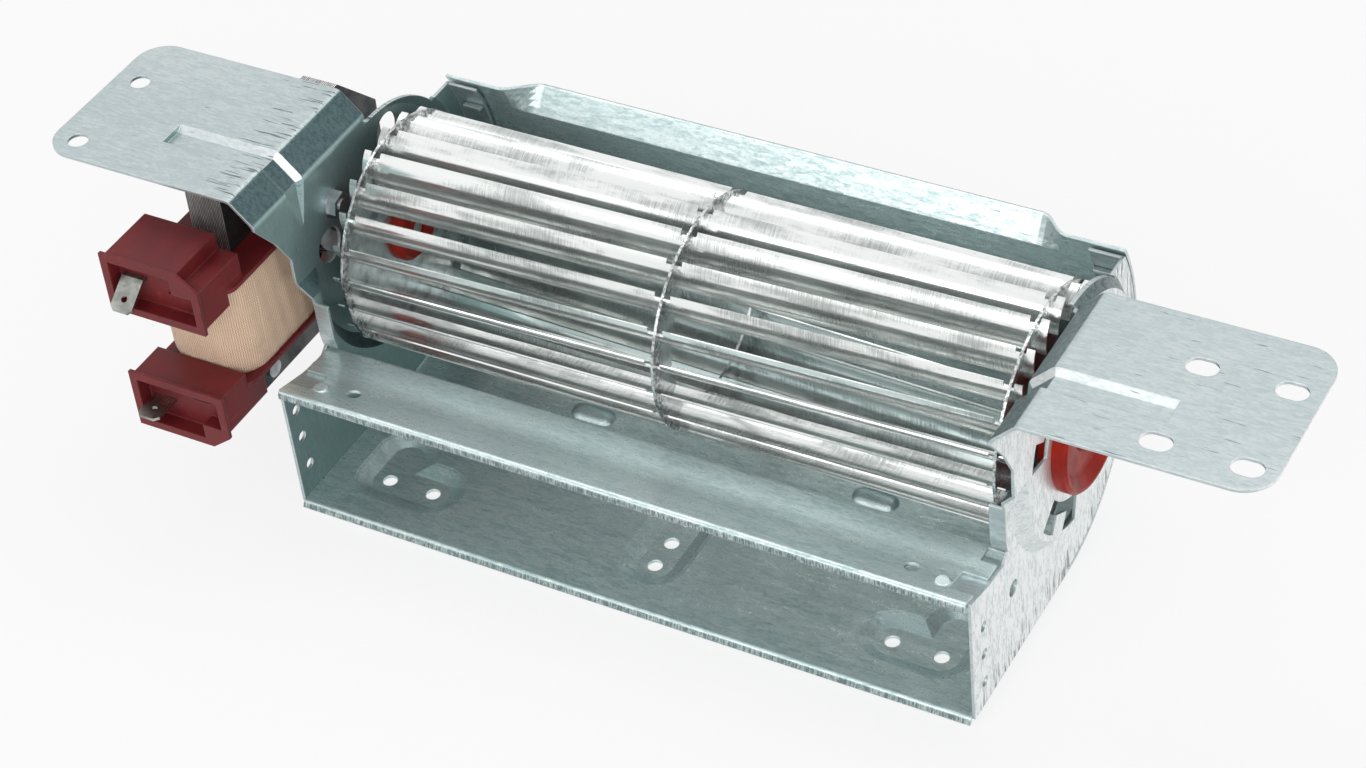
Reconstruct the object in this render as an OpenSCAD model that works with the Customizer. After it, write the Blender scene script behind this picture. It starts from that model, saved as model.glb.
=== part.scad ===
// Tangential oven fan: a long bladed wheel in a folded sheet housing, turned by a
// shaded-pole motor on the left end plate. All sizes are in millimetres.
// X runs along the wheel's axis towards the bearing end, Y runs to the back and Z runs up.
// Every module is drawn about the wheel's axis at mid length, and the last lines lower the
// whole fan onto its feet.

/* [Wheel] */
// Number of blades
blade_count = 22; // [12:1:26]
// Radius over the outer edges of the blades
wheel_r = 30; // [28:0.25:31]
// Length over the tips of the blades
wheel_l = 180; // [140:1:260]
// Thickness of a blade
blade_t = 0.4; // [0.3:0.05:0.6]
// Radius of a blade's hollow curve
blade_curve_r = 7.9; // [7.5:0.1:9]
// Angle between a blade's outer edge and the radius
blade_rake = 28; // [20:1:34]
// Angle that a blade's curve spans
blade_span = 67; // [55:1:70]
// Tilt of the blades along the wheel
blade_skew = 1.3; // [0:0.1:2]
// Angle of the first blade at mid length, from the back upwards
blade_phase = 3.9; // [0:0.1:16]
// Depth of the notch where a blade passes under the rim of a disc
notch_d = 1; // [0.6:0.1:1.4]
// Thickness of the end discs and the middle ring
disc_t = 0.7; // [0.5:0.05:1]
// Distance from a blade's tip to the middle of an end disc
disc_inset = 2.8; // [2:0.1:5]
// Inner radius of the middle ring
ring_inner_r = 21.4; // [19:0.1:21.6]
// Running gap all round a blade in its slot
slot_gap = 0.05; // [0.02:0.01:0.1]

/* [Housing] */
// Thickness of the galvanised sheet
sheet_t = 0.8; // [0.6:0.05:1]
// Space between the blade tips and an end plate
end_gap = 1.8; // [1.2:0.1:4]
// Height of the wheel's axis above the base
base_drop = 48.6; // [46:0.1:56]
// Distance from the axis to the front of the outlet
outlet_front = 54.5; // [52:0.1:62]
// Height of the axis above the front edge of the outlet's roof
roof_drop = 12.5; // [11:0.1:13]
// Radius of the lower turn of the scroll
scroll_r1 = 35.4; // [34.5:0.1:37]
// Radius of the back wall of the scroll
scroll_r2 = 50.5; // [50:0.1:52]
// Distance from the axis forwards to where the base starts to rise
scroll_start = 1.7; // [1:0.1:3]
// Angle below the horizontal where the two turns of the scroll meet
scroll_blend = 48; // [46:1:50]
// Radius of the round step pressed into an end plate, at its foot
emboss_r = 33.4; // [33.2:0.1:33.8]
// Height of that step
emboss_h = 3.2; // [2.4:0.1:4]
// Width of the flange along the back edge of an end plate
rear_flange_w = 9; // [6:0.5:14]
// Width of the flange along the upright front edge of an end plate
front_flange_w = 3.3; // [2.5:0.1:5]
// Width of the flange that carries the outlet's roof
roof_flange_w = 9.5; // [7:0.5:12]
// Height of the flared lip of the back wall, above its crease
lip_rise = 5.8; // [4:0.1:7]
// Reach of the flared lip, behind its crease
lip_reach = 4.4; // [3:0.1:6]

/* [Mounting flanges] */
// Height of the flanges above the axis
flange_z = 38.4; // [37:0.1:44]
// Length of a flange from its bend
flange_l = 55.9; // [50:0.1:80]
// Depth of a flange from front to back
flange_w = 48.5; // [48:0.1:50]
// Rise of the slanted strip between an end plate and its flange
strip_rise = 6.3; // [5:0.1:8]
// Radius of the outer corners of a flange
flange_corner_r = 8; // [4:0.5:12]
// Radius of the round holes in the motor-side flange
flange_hole_r = 2.6; // [2:0.1:3.4]
// Distance between those two holes
flange_hole_pitch = 26; // [20:0.5:30]
// Width of the slots in the bearing-side flange
slot_w = 5.5; // [4:0.1:6.5]
// Length of the slots
slot_l = 7.5; // [6.6:0.1:9]
// Distance between the slots along the flange
slot_pitch_x = 20.2; // [16:0.1:24]
// Distance between the slots across the flange
slot_pitch_y = 25.9; // [20:0.1:28]
// Depth of the stiffening bead
bead_d = 1.5; // [1:0.1:2]
// Width of the stiffening bead
bead_w = 7.5; // [5:0.1:9]

/* [Feet] */
// Depth of the pads pressed into the base
pad_d = 1.9; // [1.2:0.1:3]
// Radius of the pads
pad_r = 4.4; // [3.5:0.1:6]
// Radius of the holes in the pads
pad_hole_r = 1.9; // [1.5:0.1:2.5]
// Distance from mid length to the outer hole of a side pad
pad_x = 76.7; // [70:0.1:80]
// Distance between the two holes of a side pad
pad_hole_pitch = 12.8; // [10:0.1:16]
// Distance from the axis forwards to the front holes
pad_front = 38.8; // [34:0.1:42]
// Distance between the holes of the middle pad
mid_hole_pitch = 8.4; // [7:0.1:10]

/* [Motor] */
// Width of the lamination stack, from bottom to top
stack_w = 61; // [58:0.5:64]
// Thickness of the stack
stack_t = 10.4; // [8:0.1:12]
// Distance from the motor-side plate to the stack
motor_gap = 14.2; // [13:0.1:18]
// Radius of the rotor
rotor_r = 12; // [11:0.1:12.2]
// Air gap round the rotor
air_gap = 0.35; // [0.25:0.05:0.5]
// Radius of the motor's shaft
shaft_r = 2.5; // [2:0.1:3]
// Distance from the axis to each motor screw
screw_reach = 26; // [25.6:0.1:26.4]
// Radius of the motor screws
screw_r = 1.75; // [1.5:0.05:1.85]
// Width of the coil over its tape
coil_w = 26.6; // [24:0.1:27.4]
// Depth of the coil over its tape, from front to back
coil_depth = 36.8; // [34:0.1:37]
// Length of the coil between the flanges of the bobbin
coil_l = 28.4; // [26:0.1:28.6]
// Width of a terminal tab
tab_w = 6.3; // [4.8:0.1:6.3]
// Angle that the upper tab is bent down by
tab_bend = 37; // [0:1:45]

/* [Bearing] */
// Radius of the silicone bearing cup
cup_r = 18.2; // [17.6:0.1:19]
// Radius of the stub shaft
stub_r = 2.5; // [2:0.1:3]
// Running clearance of a shaft in its bush
run_gap = 0.05; // [0.02:0.01:0.08]

/* [Hidden] */
$fn = 96;

// Clearances between pieces that are fixed to each other
fit = 0.02;
lap = 0.05;
// Length by which a cutter stands past what it cuts
over = 1;
// Reach of a region that is meant to hold everything on one side
far = 400;

// Planes of the bearing-side plate, inner and outer faces, flat part and raised part
plate_in = wheel_l / 2 + end_gap;
plate_out = plate_in + sheet_t;
raised_in = plate_in + emboss_h;
raised_out = plate_out + emboss_h;

// The step runs this far inwards from its foot to its top
emboss_run = 3.4;
raised_r = emboss_r - emboss_run;
// Shift of the inner face of a slanted wall, so that the wall keeps the sheet's thickness
step_shift = sheet_t * (sqrt(emboss_run * emboss_run + emboss_h * emboss_h) - emboss_run)
    / emboss_h;
// The step on the front edge starts and ends at these heights
front_step_z0 = 2;
front_step_z1 = 6;
front_run = front_step_z1 - front_step_z0;
front_shift = sheet_t * (sqrt(front_run * front_run + emboss_h * emboss_h) - front_run)
    / emboss_h;

// Slanted strip and flange, by their middle surface
bend_r = 2.4;
fold_r = 0.8;
bend_steps = 6;
turn1_steps = 12;
turn2_steps = 22;
lip_steps = 4;
half_turn = 22.5;
bend_miter = sheet_t / 2 * tan(half_turn);
strip_x0 = raised_in + sheet_t / 2;
strip_x1 = raised_in + strip_rise + bend_miter;
strip_z1 = flange_z - sheet_t / 2;
strip_z0 = flange_z - strip_rise - bend_miter;
plate_top = strip_z0 - bend_r * tan(half_turn);
flange_x0 = raised_in + strip_rise;
flange_x1 = flange_x0 + flange_l;
// Distances from a flange's bend to its holes
flange_hole_inset = 48.7;
slot_inset = 39;
// Top of the end plate round the wheel, and its rear corner
lobe_r = emboss_r - 1.2;
lobe_y = 25;
corner_z = 21.5;
rear_gap = 0.5;

// Centres of the two turns of the scroll
turn1 = [-scroll_start, scroll_r1 - base_drop];
turn2 = turn1 + (scroll_r1 - scroll_r2) * [cos(scroll_blend), -sin(scroll_blend)];
scroll_top_a = 29.7;
crease_a = 19.9;
scroll_x = plate_out;
base_end_y = turn1[0] - 0.5;
lip_half = 68.5;
lip_fade = 9;

// Roof of the outlet: the end plates' flanges carry the cut-off sheet along this line
roof_rear_y = -33.6;
roof_rear_z = -15.4;
roof_bend_y = -43.5;
roof_front_y = -outlet_front - 0.9;
roof_path = [[roof_front_y, -roof_drop], [roof_bend_y, roof_rear_z], [roof_rear_y, roof_rear_z]];
roof_bend_r = 24;
roof_flange_y = -39.6;

// Locking tabs of the scroll sheet, through slots in the end plates' rear flanges: how far
// they reach in from the plate, how high they stand and how far they come through
lock_x0 = 3.4;
lock_x1 = 8.4;
scroll_lock_z = 13.8;
lock_gap = 0.25;
lock_reach = 3.6;

// Places of the motor along X, measured outwards from the wheel's middle
motor_x0 = raised_out + motor_gap;
motor_x1 = motor_x0 + stack_t;
motor_mid = (motor_x0 + motor_x1) / 2;
window_y0 = -29.5;
window_y1 = -15.6;
leg_y0 = -41.5;
leg_mid_y = (leg_y0 + window_y0) / 2;
leg_end_z = 22;
bobbin_z0 = coil_l / 2;
bobbin_t = 1.1;
bobbin_z1 = bobbin_z0 + bobbin_t;
window_z = bobbin_z1 + 0.1;
stack_back = 24.3;
stack_cut = 40.8;
coil_y0 = leg_mid_y - coil_depth / 2;
coil_y1 = leg_mid_y + coil_depth / 2;
coil_corner = 9;
tape_t = 0.5;
tube_wall = 1.2;
bobbin_w = coil_w + 1.4;
bobbin_x0 = motor_mid - bobbin_w / 2;
bobbin_x1 = motor_mid + bobbin_w / 2;
bobbin_front = coil_y0 - 1.8;
bobbin_back = -16;

// Terminal sockets: mouth, depth and the line of the tabs
socket_front = -66;
socket_wall = 1.3;
socket_floor = -62;
socket_x0 = motor_mid - 12.9;
socket_step_x = motor_mid - 7.3;
socket_x1 = motor_mid + 13.5;
socket_z0 = 10.9;
socket_z1 = 26.3;
socket_shelf_z = 22;
socket_lip = 1;
tab_x = motor_mid + 7.6;
tab_t = 0.8;
tab_z = 19.5;
tab_root = -63.2;
tab_len = 9;
lower_tab_tip = -70.5;
slit_x = motor_mid - 4;
slit_z = 16.4;
slit_l = 5.2;
slit_h = 0.7;
slit_d = 1.2;
tab_hole_r = 0.85;

// Brackets, bushes and rotor
bracket_t = 1.5;
leg_r = 3;
strap_w = 12;
front_strap_x = bobbin_x0 - 1.6 - bracket_t;
rear_strap_x = bobbin_x1 + 0.3;
bush_r = 5;
bush_l = 6;
bush_wall = 1.5;
cage_ring_l = 2.6;
bar_r = 0.9;
bar_reach = 10.4;
bar_count = 16;
shade_a = 45;

// Screws and what sits on them
nut_t = 2.2;
nut_r = 3.6;
washer_r = 3.9;
washer_t = 0.8;
head_r = 3.5;
head_t = 2;
screw_tip = raised_in - washer_t - nut_t - 0.4;

// Wheel ends
disc_x = wheel_l / 2 - disc_inset;
ring_x = -0.3;
hub_r = 8.7;
hub_neck_r = 6.5;
hub_flange_t = 2.6;
stub_flange_r = 7;
stub_flange_t = 1.2;
stub_collar_r = 4;
stub_collar_t = 1;
stub_end = raised_out + 2.4;

// Bearing cup
cup_seat_r = 15.4;
cup_back = raised_in - 2.8;
cup_front = raised_out + 3.7;
cup_recess_r = 14;
cup_floor = cup_front - 2;
cup_mouth_r = 7.8;

// The fan stands on its pads, and its origin is under the middle of its box
low_z = -base_drop - pad_d - sheet_t;
tab_tip_y = tab_root - tab_len * cos(tab_bend) - tab_t * sin(tab_bend) / 2;
crease = turn2 + (scroll_r2 + sheet_t) * [cos(crease_a), sin(crease_a)];
back_y = crease[0] + lip_reach;
mid_y = (tab_tip_y + back_y) / 2;

steel = "#aebdbb";
bright = "#d6d8d9";
maroon = "#7c2630";
silicone = "#c5331d";
laminations = "#3f4446";
copper = "#b06a3c";
bronze = "#a98a52";
tape = "#d9b99b";

// An outline in the YZ plane, carried along X from x0 to x1
module along_x(x0, x1) {
    translate([x0, 0, 0])
        rotate([90, 0, 90])
            linear_extrude(height = x1 - x0)
                children();
}

// An outline in the XZ plane, carried along Y from y0 to y1
module along_y(y0, y1) {
    translate([0, y1, 0])
        rotate([90, 0, 0])
            linear_extrude(height = y1 - y0)
                children();
}

// An outline of radius against X, turned round the wheel's axis
module around_x() {
    rotate([90, 0, 90])
        rotate_extrude()
            children();
}

// The motor side is the bearing side seen in a mirror
module motor_side() {
    mirror([1, 0, 0])
        children();
}

// A wedge of the plane between two angles, under 180 degrees apart
module wedge(a0, a1, reach) {
    mid = (a0 + a1) / 2;
    k = reach / cos((a1 - a0) / 4);
    polygon([[0, 0], k * [cos(a0), sin(a0)], k * [cos(mid), sin(mid)], k * [cos(a1), sin(a1)]]);
}

// A stretch of sheet that follows an arc, between two angles
module arc_band(centre, inner_r, t, a0, a1) {
    translate(centre)
        intersection() {
            difference() {
                circle(inner_r + t);
                circle(inner_r);
            }
            wedge(a0, a1, 2 * (inner_r + t));
        }
}

// The section of a folded sheet: straight runs along a path, with round bends between them,
// all of one radius or each of its own.
// Each side of the sheet is the path moved sideways, with every corner turned into an arc.
function heading(a, b) = atan2(b[1] - a[1], b[0] - a[0]);
function turn_at(p, i) = let (d = heading(p[i], p[i + 1]) - heading(p[i - 1], p[i]))
    d > 180 ? d - 360 : (d < -180 ? d + 360 : d);
function arc_points(centre, r, a0, a1, steps) =
    [for (k = [0 : steps]) centre + r * [cos(a0 + (a1 - a0) * k / steps),
        sin(a0 + (a1 - a0) * k / steps)]];
function bend_points(p, i, off, r) = let (a = heading(p[i - 1], p[i]), turn = turn_at(p, i),
    side = sign(turn), back = r * tan(abs(turn) / 2),
    centre = p[i] - back * [cos(a), sin(a)] + side * r * [-sin(a), cos(a)])
    arc_points(centre, side * off - r, a + side * 90, a + turn + side * 90, bend_steps);
function side_points(p, off, r) = let (n = len(p) - 1, a = heading(p[0], p[1]),
    b = heading(p[n - 1], p[n]))
    concat([p[0] + off * [-sin(a), cos(a)]],
        [for (i = [1 : n - 1]) each bend_points(p, i, off, is_list(r) ? r[i] : r)],
        [p[n] + off * [-sin(b), cos(b)]]);
function reversed(list) = [for (i = [len(list) - 1 : -1 : 0]) list[i]];
module folded(p, t, r) {
    polygon(concat(side_points(p, t / 2, r), reversed(side_points(p, -t / 2, r))));
}

// A round-ended slot along X or Y, cut from z0 to z1
module slot_cut(from, to, r, z0, z1) {
    span = to - from;
    for (p = [from, to])
        translate([p[0], p[1], z0])
            cylinder(r = r, h = z1 - z0);
    translate([(from[0] + to[0]) / 2, (from[1] + to[1]) / 2, (z0 + z1) / 2])
        cube([abs(span[0]) + (span[0] == 0 ? 2 * r : 0), abs(span[1]) + (span[1] == 0 ? 2 * r : 0),
            z1 - z0], center = true);
}

// The curve of the scroll from its lowest point up to an angle, at a distance outside its
// inner face
function scroll_curve(off, top_a) = concat(
    arc_points(turn1, scroll_r1 + off, -90, -scroll_blend, turn1_steps),
    arc_points(turn2, scroll_r2 + off, -scroll_blend, top_a, turn2_steps));
corner_a = asin((corner_z - turn2[1]) / (scroll_r2 - rear_gap));

// The flange along the back edge starts behind the wheel
rear_flange_a = -70;
function rear_curve(off) = concat(
    arc_points(turn1, scroll_r1 + off, rear_flange_a, -scroll_blend, 4),
    arc_points(turn2, scroll_r2 + off, -scroll_blend, corner_a, turn2_steps));

// Outline of an end plate in the YZ plane
module plate_outline() {
    polygon(concat(
        [[-outlet_front, -base_drop - sheet_t], [base_end_y, -base_drop - sheet_t],
            [base_end_y, -base_drop], [turn1[0], -base_drop]],
        scroll_curve(-rear_gap, corner_a),
        [[lobe_y, corner_z]],
        arc_points([0, 0], lobe_r, acos(lobe_y / lobe_r), 90, 12),
        [[0, plate_top], [-flange_w, plate_top], [-41.9, 22.3], [-37.5, 14.2], [-37.5, 7.5],
            [-35.8, 0], [-35.6, -10], [-34.5, -13.8], [-37, roof_rear_z - sheet_t / 2],
            [roof_bend_y, roof_rear_z - sheet_t / 2],
            [roof_front_y + 0.6, -roof_drop - sheet_t / 2]]));
}

// All that lies inwards of an end plate's outer face, or of its inner face when shift is the
// sheet's thickness: the flat part, the round step and the raised front with its slanted foot
module plate_form(shift, round_shift, foot_shift) {
    x0 = plate_in - 2 * emboss_h;
    x1 = plate_out - shift;
    x2 = x1 + emboss_h;
    along_x(x0, x1)
        translate([-far / 4, -far / 4])
            square(far / 2);
    around_x()
        polygon([[0, x0], [emboss_r - round_shift, x0], [emboss_r - round_shift, x1],
            [raised_r - round_shift, x2], [0, x2]]);
    translate([0, -far / 4, 0])
        rotate([-90, 0, 0])
            linear_extrude(height = far / 4 - shift)
                polygon([[x0, -front_step_z0 - foot_shift], [x1, -front_step_z0 - foot_shift],
                    [x2, -front_step_z1 - foot_shift], [x2, -far / 4], [x0, -far / 4]]);
}

// The bead runs along the flange, down the strip and fades out on the end plate. It is a
// pressed channel with a flat floor and sloped sides, lofted through four sections: its blunt
// end, the two bends of the sheet, and the point where it fades.
bead_end = 28.7;
bead_fade = 12;
bead_y = -31;
bead_floor_w = bead_w - 2 * bead_d;
bead_tip_w = 1;
module bead_channel(grow) {
    nodes = [[flange_x0 + bead_end + grow, flange_z], [flange_x0, flange_z],
        [raised_in, flange_z - strip_rise], [raised_in, flange_z - strip_rise - bead_fade]];
    slant = [sin(45), -cos(45)];
    down = [[0, -1], ([0, -1] + slant) / (1 + cos(45)), ([1, 0] + slant) / (1 + cos(45)), [1, 0]];
    depth = [bead_d, bead_d, bead_d, 0];
    floor_w = [bead_floor_w, bead_floor_w, bead_floor_w, bead_tip_w];
    corners = [for (i = [0 : 3]) let (d = depth[i] + grow,
        half = floor_w[i] / 2 + grow * tan(half_turn), rim = half + depth[i] + grow + over)
        for (c = [[d, -half], [d, half], [-over, rim], [-over, -rim]])
            let (q = nodes[i] + c[0] * down[i]) [q[0], bead_y + c[1], q[1]]];
    walls = [for (i = [0 : 2], k = [0 : 3]) let (a = 4 * i + k, b = 4 * i + (k + 1) % 4)
        each [[a, b, b + 4], [a, b + 4, a + 4]]];
    polyhedron(points = corners, faces = concat(walls, [[3, 2, 1, 0], [12, 13, 14, 15]]));
}

// The strip, the mounting flange and the bead's bulge on their outer side
module flange_sheet() {
    path = [[strip_x0, plate_top], [strip_x0, strip_z0], [strip_x1, strip_z1],
        [flange_x1, strip_z1]];
    difference() {
        along_y(-flange_w, 0)
            folded(path, sheet_t, bend_r);
        for (y = [-flange_w, -flange_corner_r])
            difference() {
                translate([flange_x1 - flange_corner_r, y - (y < -flange_w / 2 ? over : 0), strip_z0])
                    cube([flange_corner_r + over, flange_corner_r + over, 2 * strip_rise]);
                translate([flange_x1 - flange_corner_r,
                    y < -flange_w / 2 ? y + flange_corner_r : y, strip_z0 - over])
                    cylinder(r = flange_corner_r, h = 2 * strip_rise + 2 * over);
            }
    }
    intersection() {
        bead_channel(sheet_t);
        along_y(-flange_w + over, -over)
            polygon([[strip_x0, 0], [strip_x0, strip_z0], [strip_x1, strip_z1],
                [flange_x1 - over, strip_z1], [flange_x1 - over, 0]]);
    }
}

// Flanges turned inwards along the back edge and the front edges of an end plate
module inward_flanges() {
    lock_z = scroll_lock_z - lock_gap;
    difference() {
        along_x(plate_out - rear_flange_w, plate_out)
            polygon(concat(rear_curve(-rear_gap), reversed(rear_curve(-rear_gap - sheet_t))));
        translate([plate_out - lock_x1 - lock_gap, lobe_y, lock_z])
            cube([lock_x1 - lock_x0 + 2 * lock_gap, far, sheet_t + 2 * lock_gap]);
    }
    along_x(plate_out - roof_flange_w, plate_out)
        translate([0, -sheet_t / 2])
            folded([[roof_front_y + 0.7, -roof_drop - 0.1], roof_path[1],
                [roof_flange_y, roof_rear_z]], sheet_t, roof_bend_r);
    along_x(plate_in - front_flange_w, plate_out)
        folded([[-34.9 + 0.4, -13.6], [-35.6 + 0.4, -10], [-35.8 + 0.4, 0]], sheet_t, bend_r);
}

// One end plate on the bearing side, without the holes that differ from end to end
module end_plate() {
    difference() {
        union() {
            difference() {
                intersection() {
                    plate_form(0, 0, 0);
                    along_x(plate_in - over, raised_out + over)
                        plate_outline();
                }
                plate_form(sheet_t, step_shift, front_shift);
            }
            flange_sheet();
            inward_flanges();
        }
        bead_channel(0);
    }
}

// A round hole along X through the raised or the flat part of an end plate
module plate_hole(y, z, r) {
    translate([plate_in - over, y, z])
        rotate([0, 90, 0])
            cylinder(r = r, h = emboss_h + sheet_t + 2 * over);
}

flange_hole_x = flange_x0 + flange_hole_inset;
flange_hole_y = -29.3;
wire_hole_r = 1.4;
vent_r = 4.65;
vent_reach = 23.75;
vent_a = 70.5;
module motor_side_plate() {
    color(steel)
        motor_side()
            difference() {
                end_plate();
                for (side = [-1, 1])
                    translate([flange_hole_x, flange_hole_y + side * flange_hole_pitch / 2,
                        strip_z1 - 2])
                        cylinder(r = flange_hole_r, h = 4);
                for (k = [0 : 3])
                    rotate([vent_a + 90 * k, 0, 0])
                        plate_hole(vent_reach, 0, vent_r);
                for (a = [135, 315])
                    rotate([a, 0, 0])
                        plate_hole(screw_reach, 0, screw_r + 0.1);
                plate_hole(0, 0, 9);
                plate_hole(-51, -22.1, wire_hole_r);
                plate_hole(-50.7, -30.9, wire_hole_r);
                plate_hole(-50, -40.5, wire_hole_r);
            }
}

slot_x = flange_x0 + slot_inset;
slot_y = -28.25;
web_r0 = 20.5;
web_r1 = 28.5;
web_tab_r = 23.5;
web_tab_w = 6;
web_a = 58.5;
web_span = 43;
module bearing_side_plate() {
    color(steel)
        difference() {
            end_plate();
            for (ix = [-1, 1], iy = [-1, 1]) {
                x = slot_x + ix * slot_pitch_x / 2;
                y = slot_y + iy * slot_pitch_y / 2;
                reach = (slot_l - slot_w) / 2;
                slot_cut([x - reach, y], [x + reach, y], slot_w / 2, strip_z1 - 2, strip_z1 + 2);
            }
            along_x(raised_in - over, raised_out + over)
                for (k = [0 : 3])
                    rotate(web_a + 90 * k)
                        difference() {
                            arc_band([0, 0], web_r0, web_r1 - web_r0, -web_span / 2, web_span / 2);
                            translate([web_tab_r, -web_tab_w / 2])
                                square([web_r1, web_tab_w]);
                        }
            plate_hole(0, 0, cup_seat_r + fit);
            plate_hole(-48.7, -24.7, wire_hole_r);
            plate_hole(-48.7, -33.4, wire_hole_r);
            plate_hole(-48.7, -42.3, wire_hole_r);
            plate_hole(-32.6, -27.1, 2.2);
        }
}

// The flared lip: a grid of points across its width and up its height. At the ends of the lip
// it runs into the round back wall, and in the middle it leans straight out.
function lip_share(x) = let (s = min(1, max(0, (lip_half + lip_fade - abs(x)) / lip_fade)))
    s * s * (3 - 2 * s);
function wall_point(r, s) = let (a = crease_a + s * (scroll_top_a - crease_a))
    turn2 + r * [cos(a), sin(a)];
function lip_point(x, s, r) = let (w = lip_share(x), foot = wall_point(r, 0))
    (1 - w) * wall_point(r, s) + w * (foot + s * [lip_reach, lip_rise]);
function lip_face(x, s, off) = s < 0
    ? wall_point(scroll_r2 + sheet_t / 2 + (off - sheet_t / 2) / 2, lip_tongue)
    : lip_point(x, s, scroll_r2 + off);
lip_tongue = -0.1;
module flared_lip() {
    fade = [for (i = [0 : 6]) lip_half + lip_fade * i / 6];
    xs = concat([for (i = [6 : -1 : 0]) -fade[i]], fade);
    rows = [for (k = [-1 : lip_steps]) k / lip_steps];
    n = len(xs);
    m = len(rows);
    inner = [for (x = xs, s = rows) let (p = lip_face(x, s, 0)) [x, p[0], p[1]]];
    outer = [for (x = xs, s = rows) let (p = lip_face(x, s, sheet_t)) [x, p[0], p[1]]];
    all = n * m;
    inner_faces = [for (i = [0 : n - 2], j = [0 : m - 2])
        each [[i * m + j, i * m + j + 1, (i + 1) * m + j + 1],
            [i * m + j, (i + 1) * m + j + 1, (i + 1) * m + j]]];
    outer_faces = [for (f = inner_faces) [f[2] + all, f[1] + all, f[0] + all]];
    foot_faces = [for (i = [0 : n - 2])
        each [[i * m, (i + 1) * m, (i + 1) * m + all], [i * m, (i + 1) * m + all, i * m + all]]];
    edge_faces = [for (i = [0 : n - 2]) let (a = i * m + m - 1, b = a + m)
        each [[a, a + all, b + all], [a, b + all, b]]];
    end_faces = [for (j = [0 : m - 2]) let (a = j, b = (n - 1) * m + j)
        each [[a, a + all, a + 1 + all], [a, a + 1 + all, a + 1],
            [b, b + 1, b + 1 + all], [b, b + 1 + all, b + all]]];
    polyhedron(points = concat(inner, outer), faces = concat(inner_faces, outer_faces,
        foot_faces, edge_faces, end_faces));
}

// A pressed dish between two points: sloped sides, flat floor
pad_slope = 4;
module dish(from, to, r_floor, z_floor, z_rim) {
    r_rim = r_floor + pad_slope * (z_rim - z_floor) / pad_d;
    span = to - from;
    turn = heading(from, to);
    for (p = [from, to])
        translate([p[0], p[1], z_floor])
            cylinder(r1 = r_floor, r2 = r_rim, h = z_rim - z_floor);
    translate([from[0], from[1], 0])
        rotate([0, 0, turn])
            rotate([90, 0, 90])
                linear_extrude(height = norm(span))
                    polygon([[-r_floor, z_floor], [r_floor, z_floor], [r_rim, z_rim],
                        [-r_rim, z_rim]]);
}
pad_back = pad_front - 2 * mid_hole_pitch;
pad_side_back = 30;
pad_runs = [
    [[0, -pad_front], [0, -pad_back]],
    [[pad_x - pad_hole_pitch, -pad_front], [pad_x, -pad_front]],
    [[pad_x, -pad_front], [pad_x, -pad_side_back]],
    [[-pad_x + pad_hole_pitch, -pad_front], [-pad_x, -pad_front]],
    [[-pad_x, -pad_front], [-pad_x, -pad_side_back]]];
pad_holes = [[0, -pad_front], [0, mid_hole_pitch - pad_front], [0, -pad_back],
    [pad_x, -pad_front], [pad_x - pad_hole_pitch, -pad_front],
    [-pad_x, -pad_front], [-pad_x + pad_hole_pitch, -pad_front]];

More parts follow.
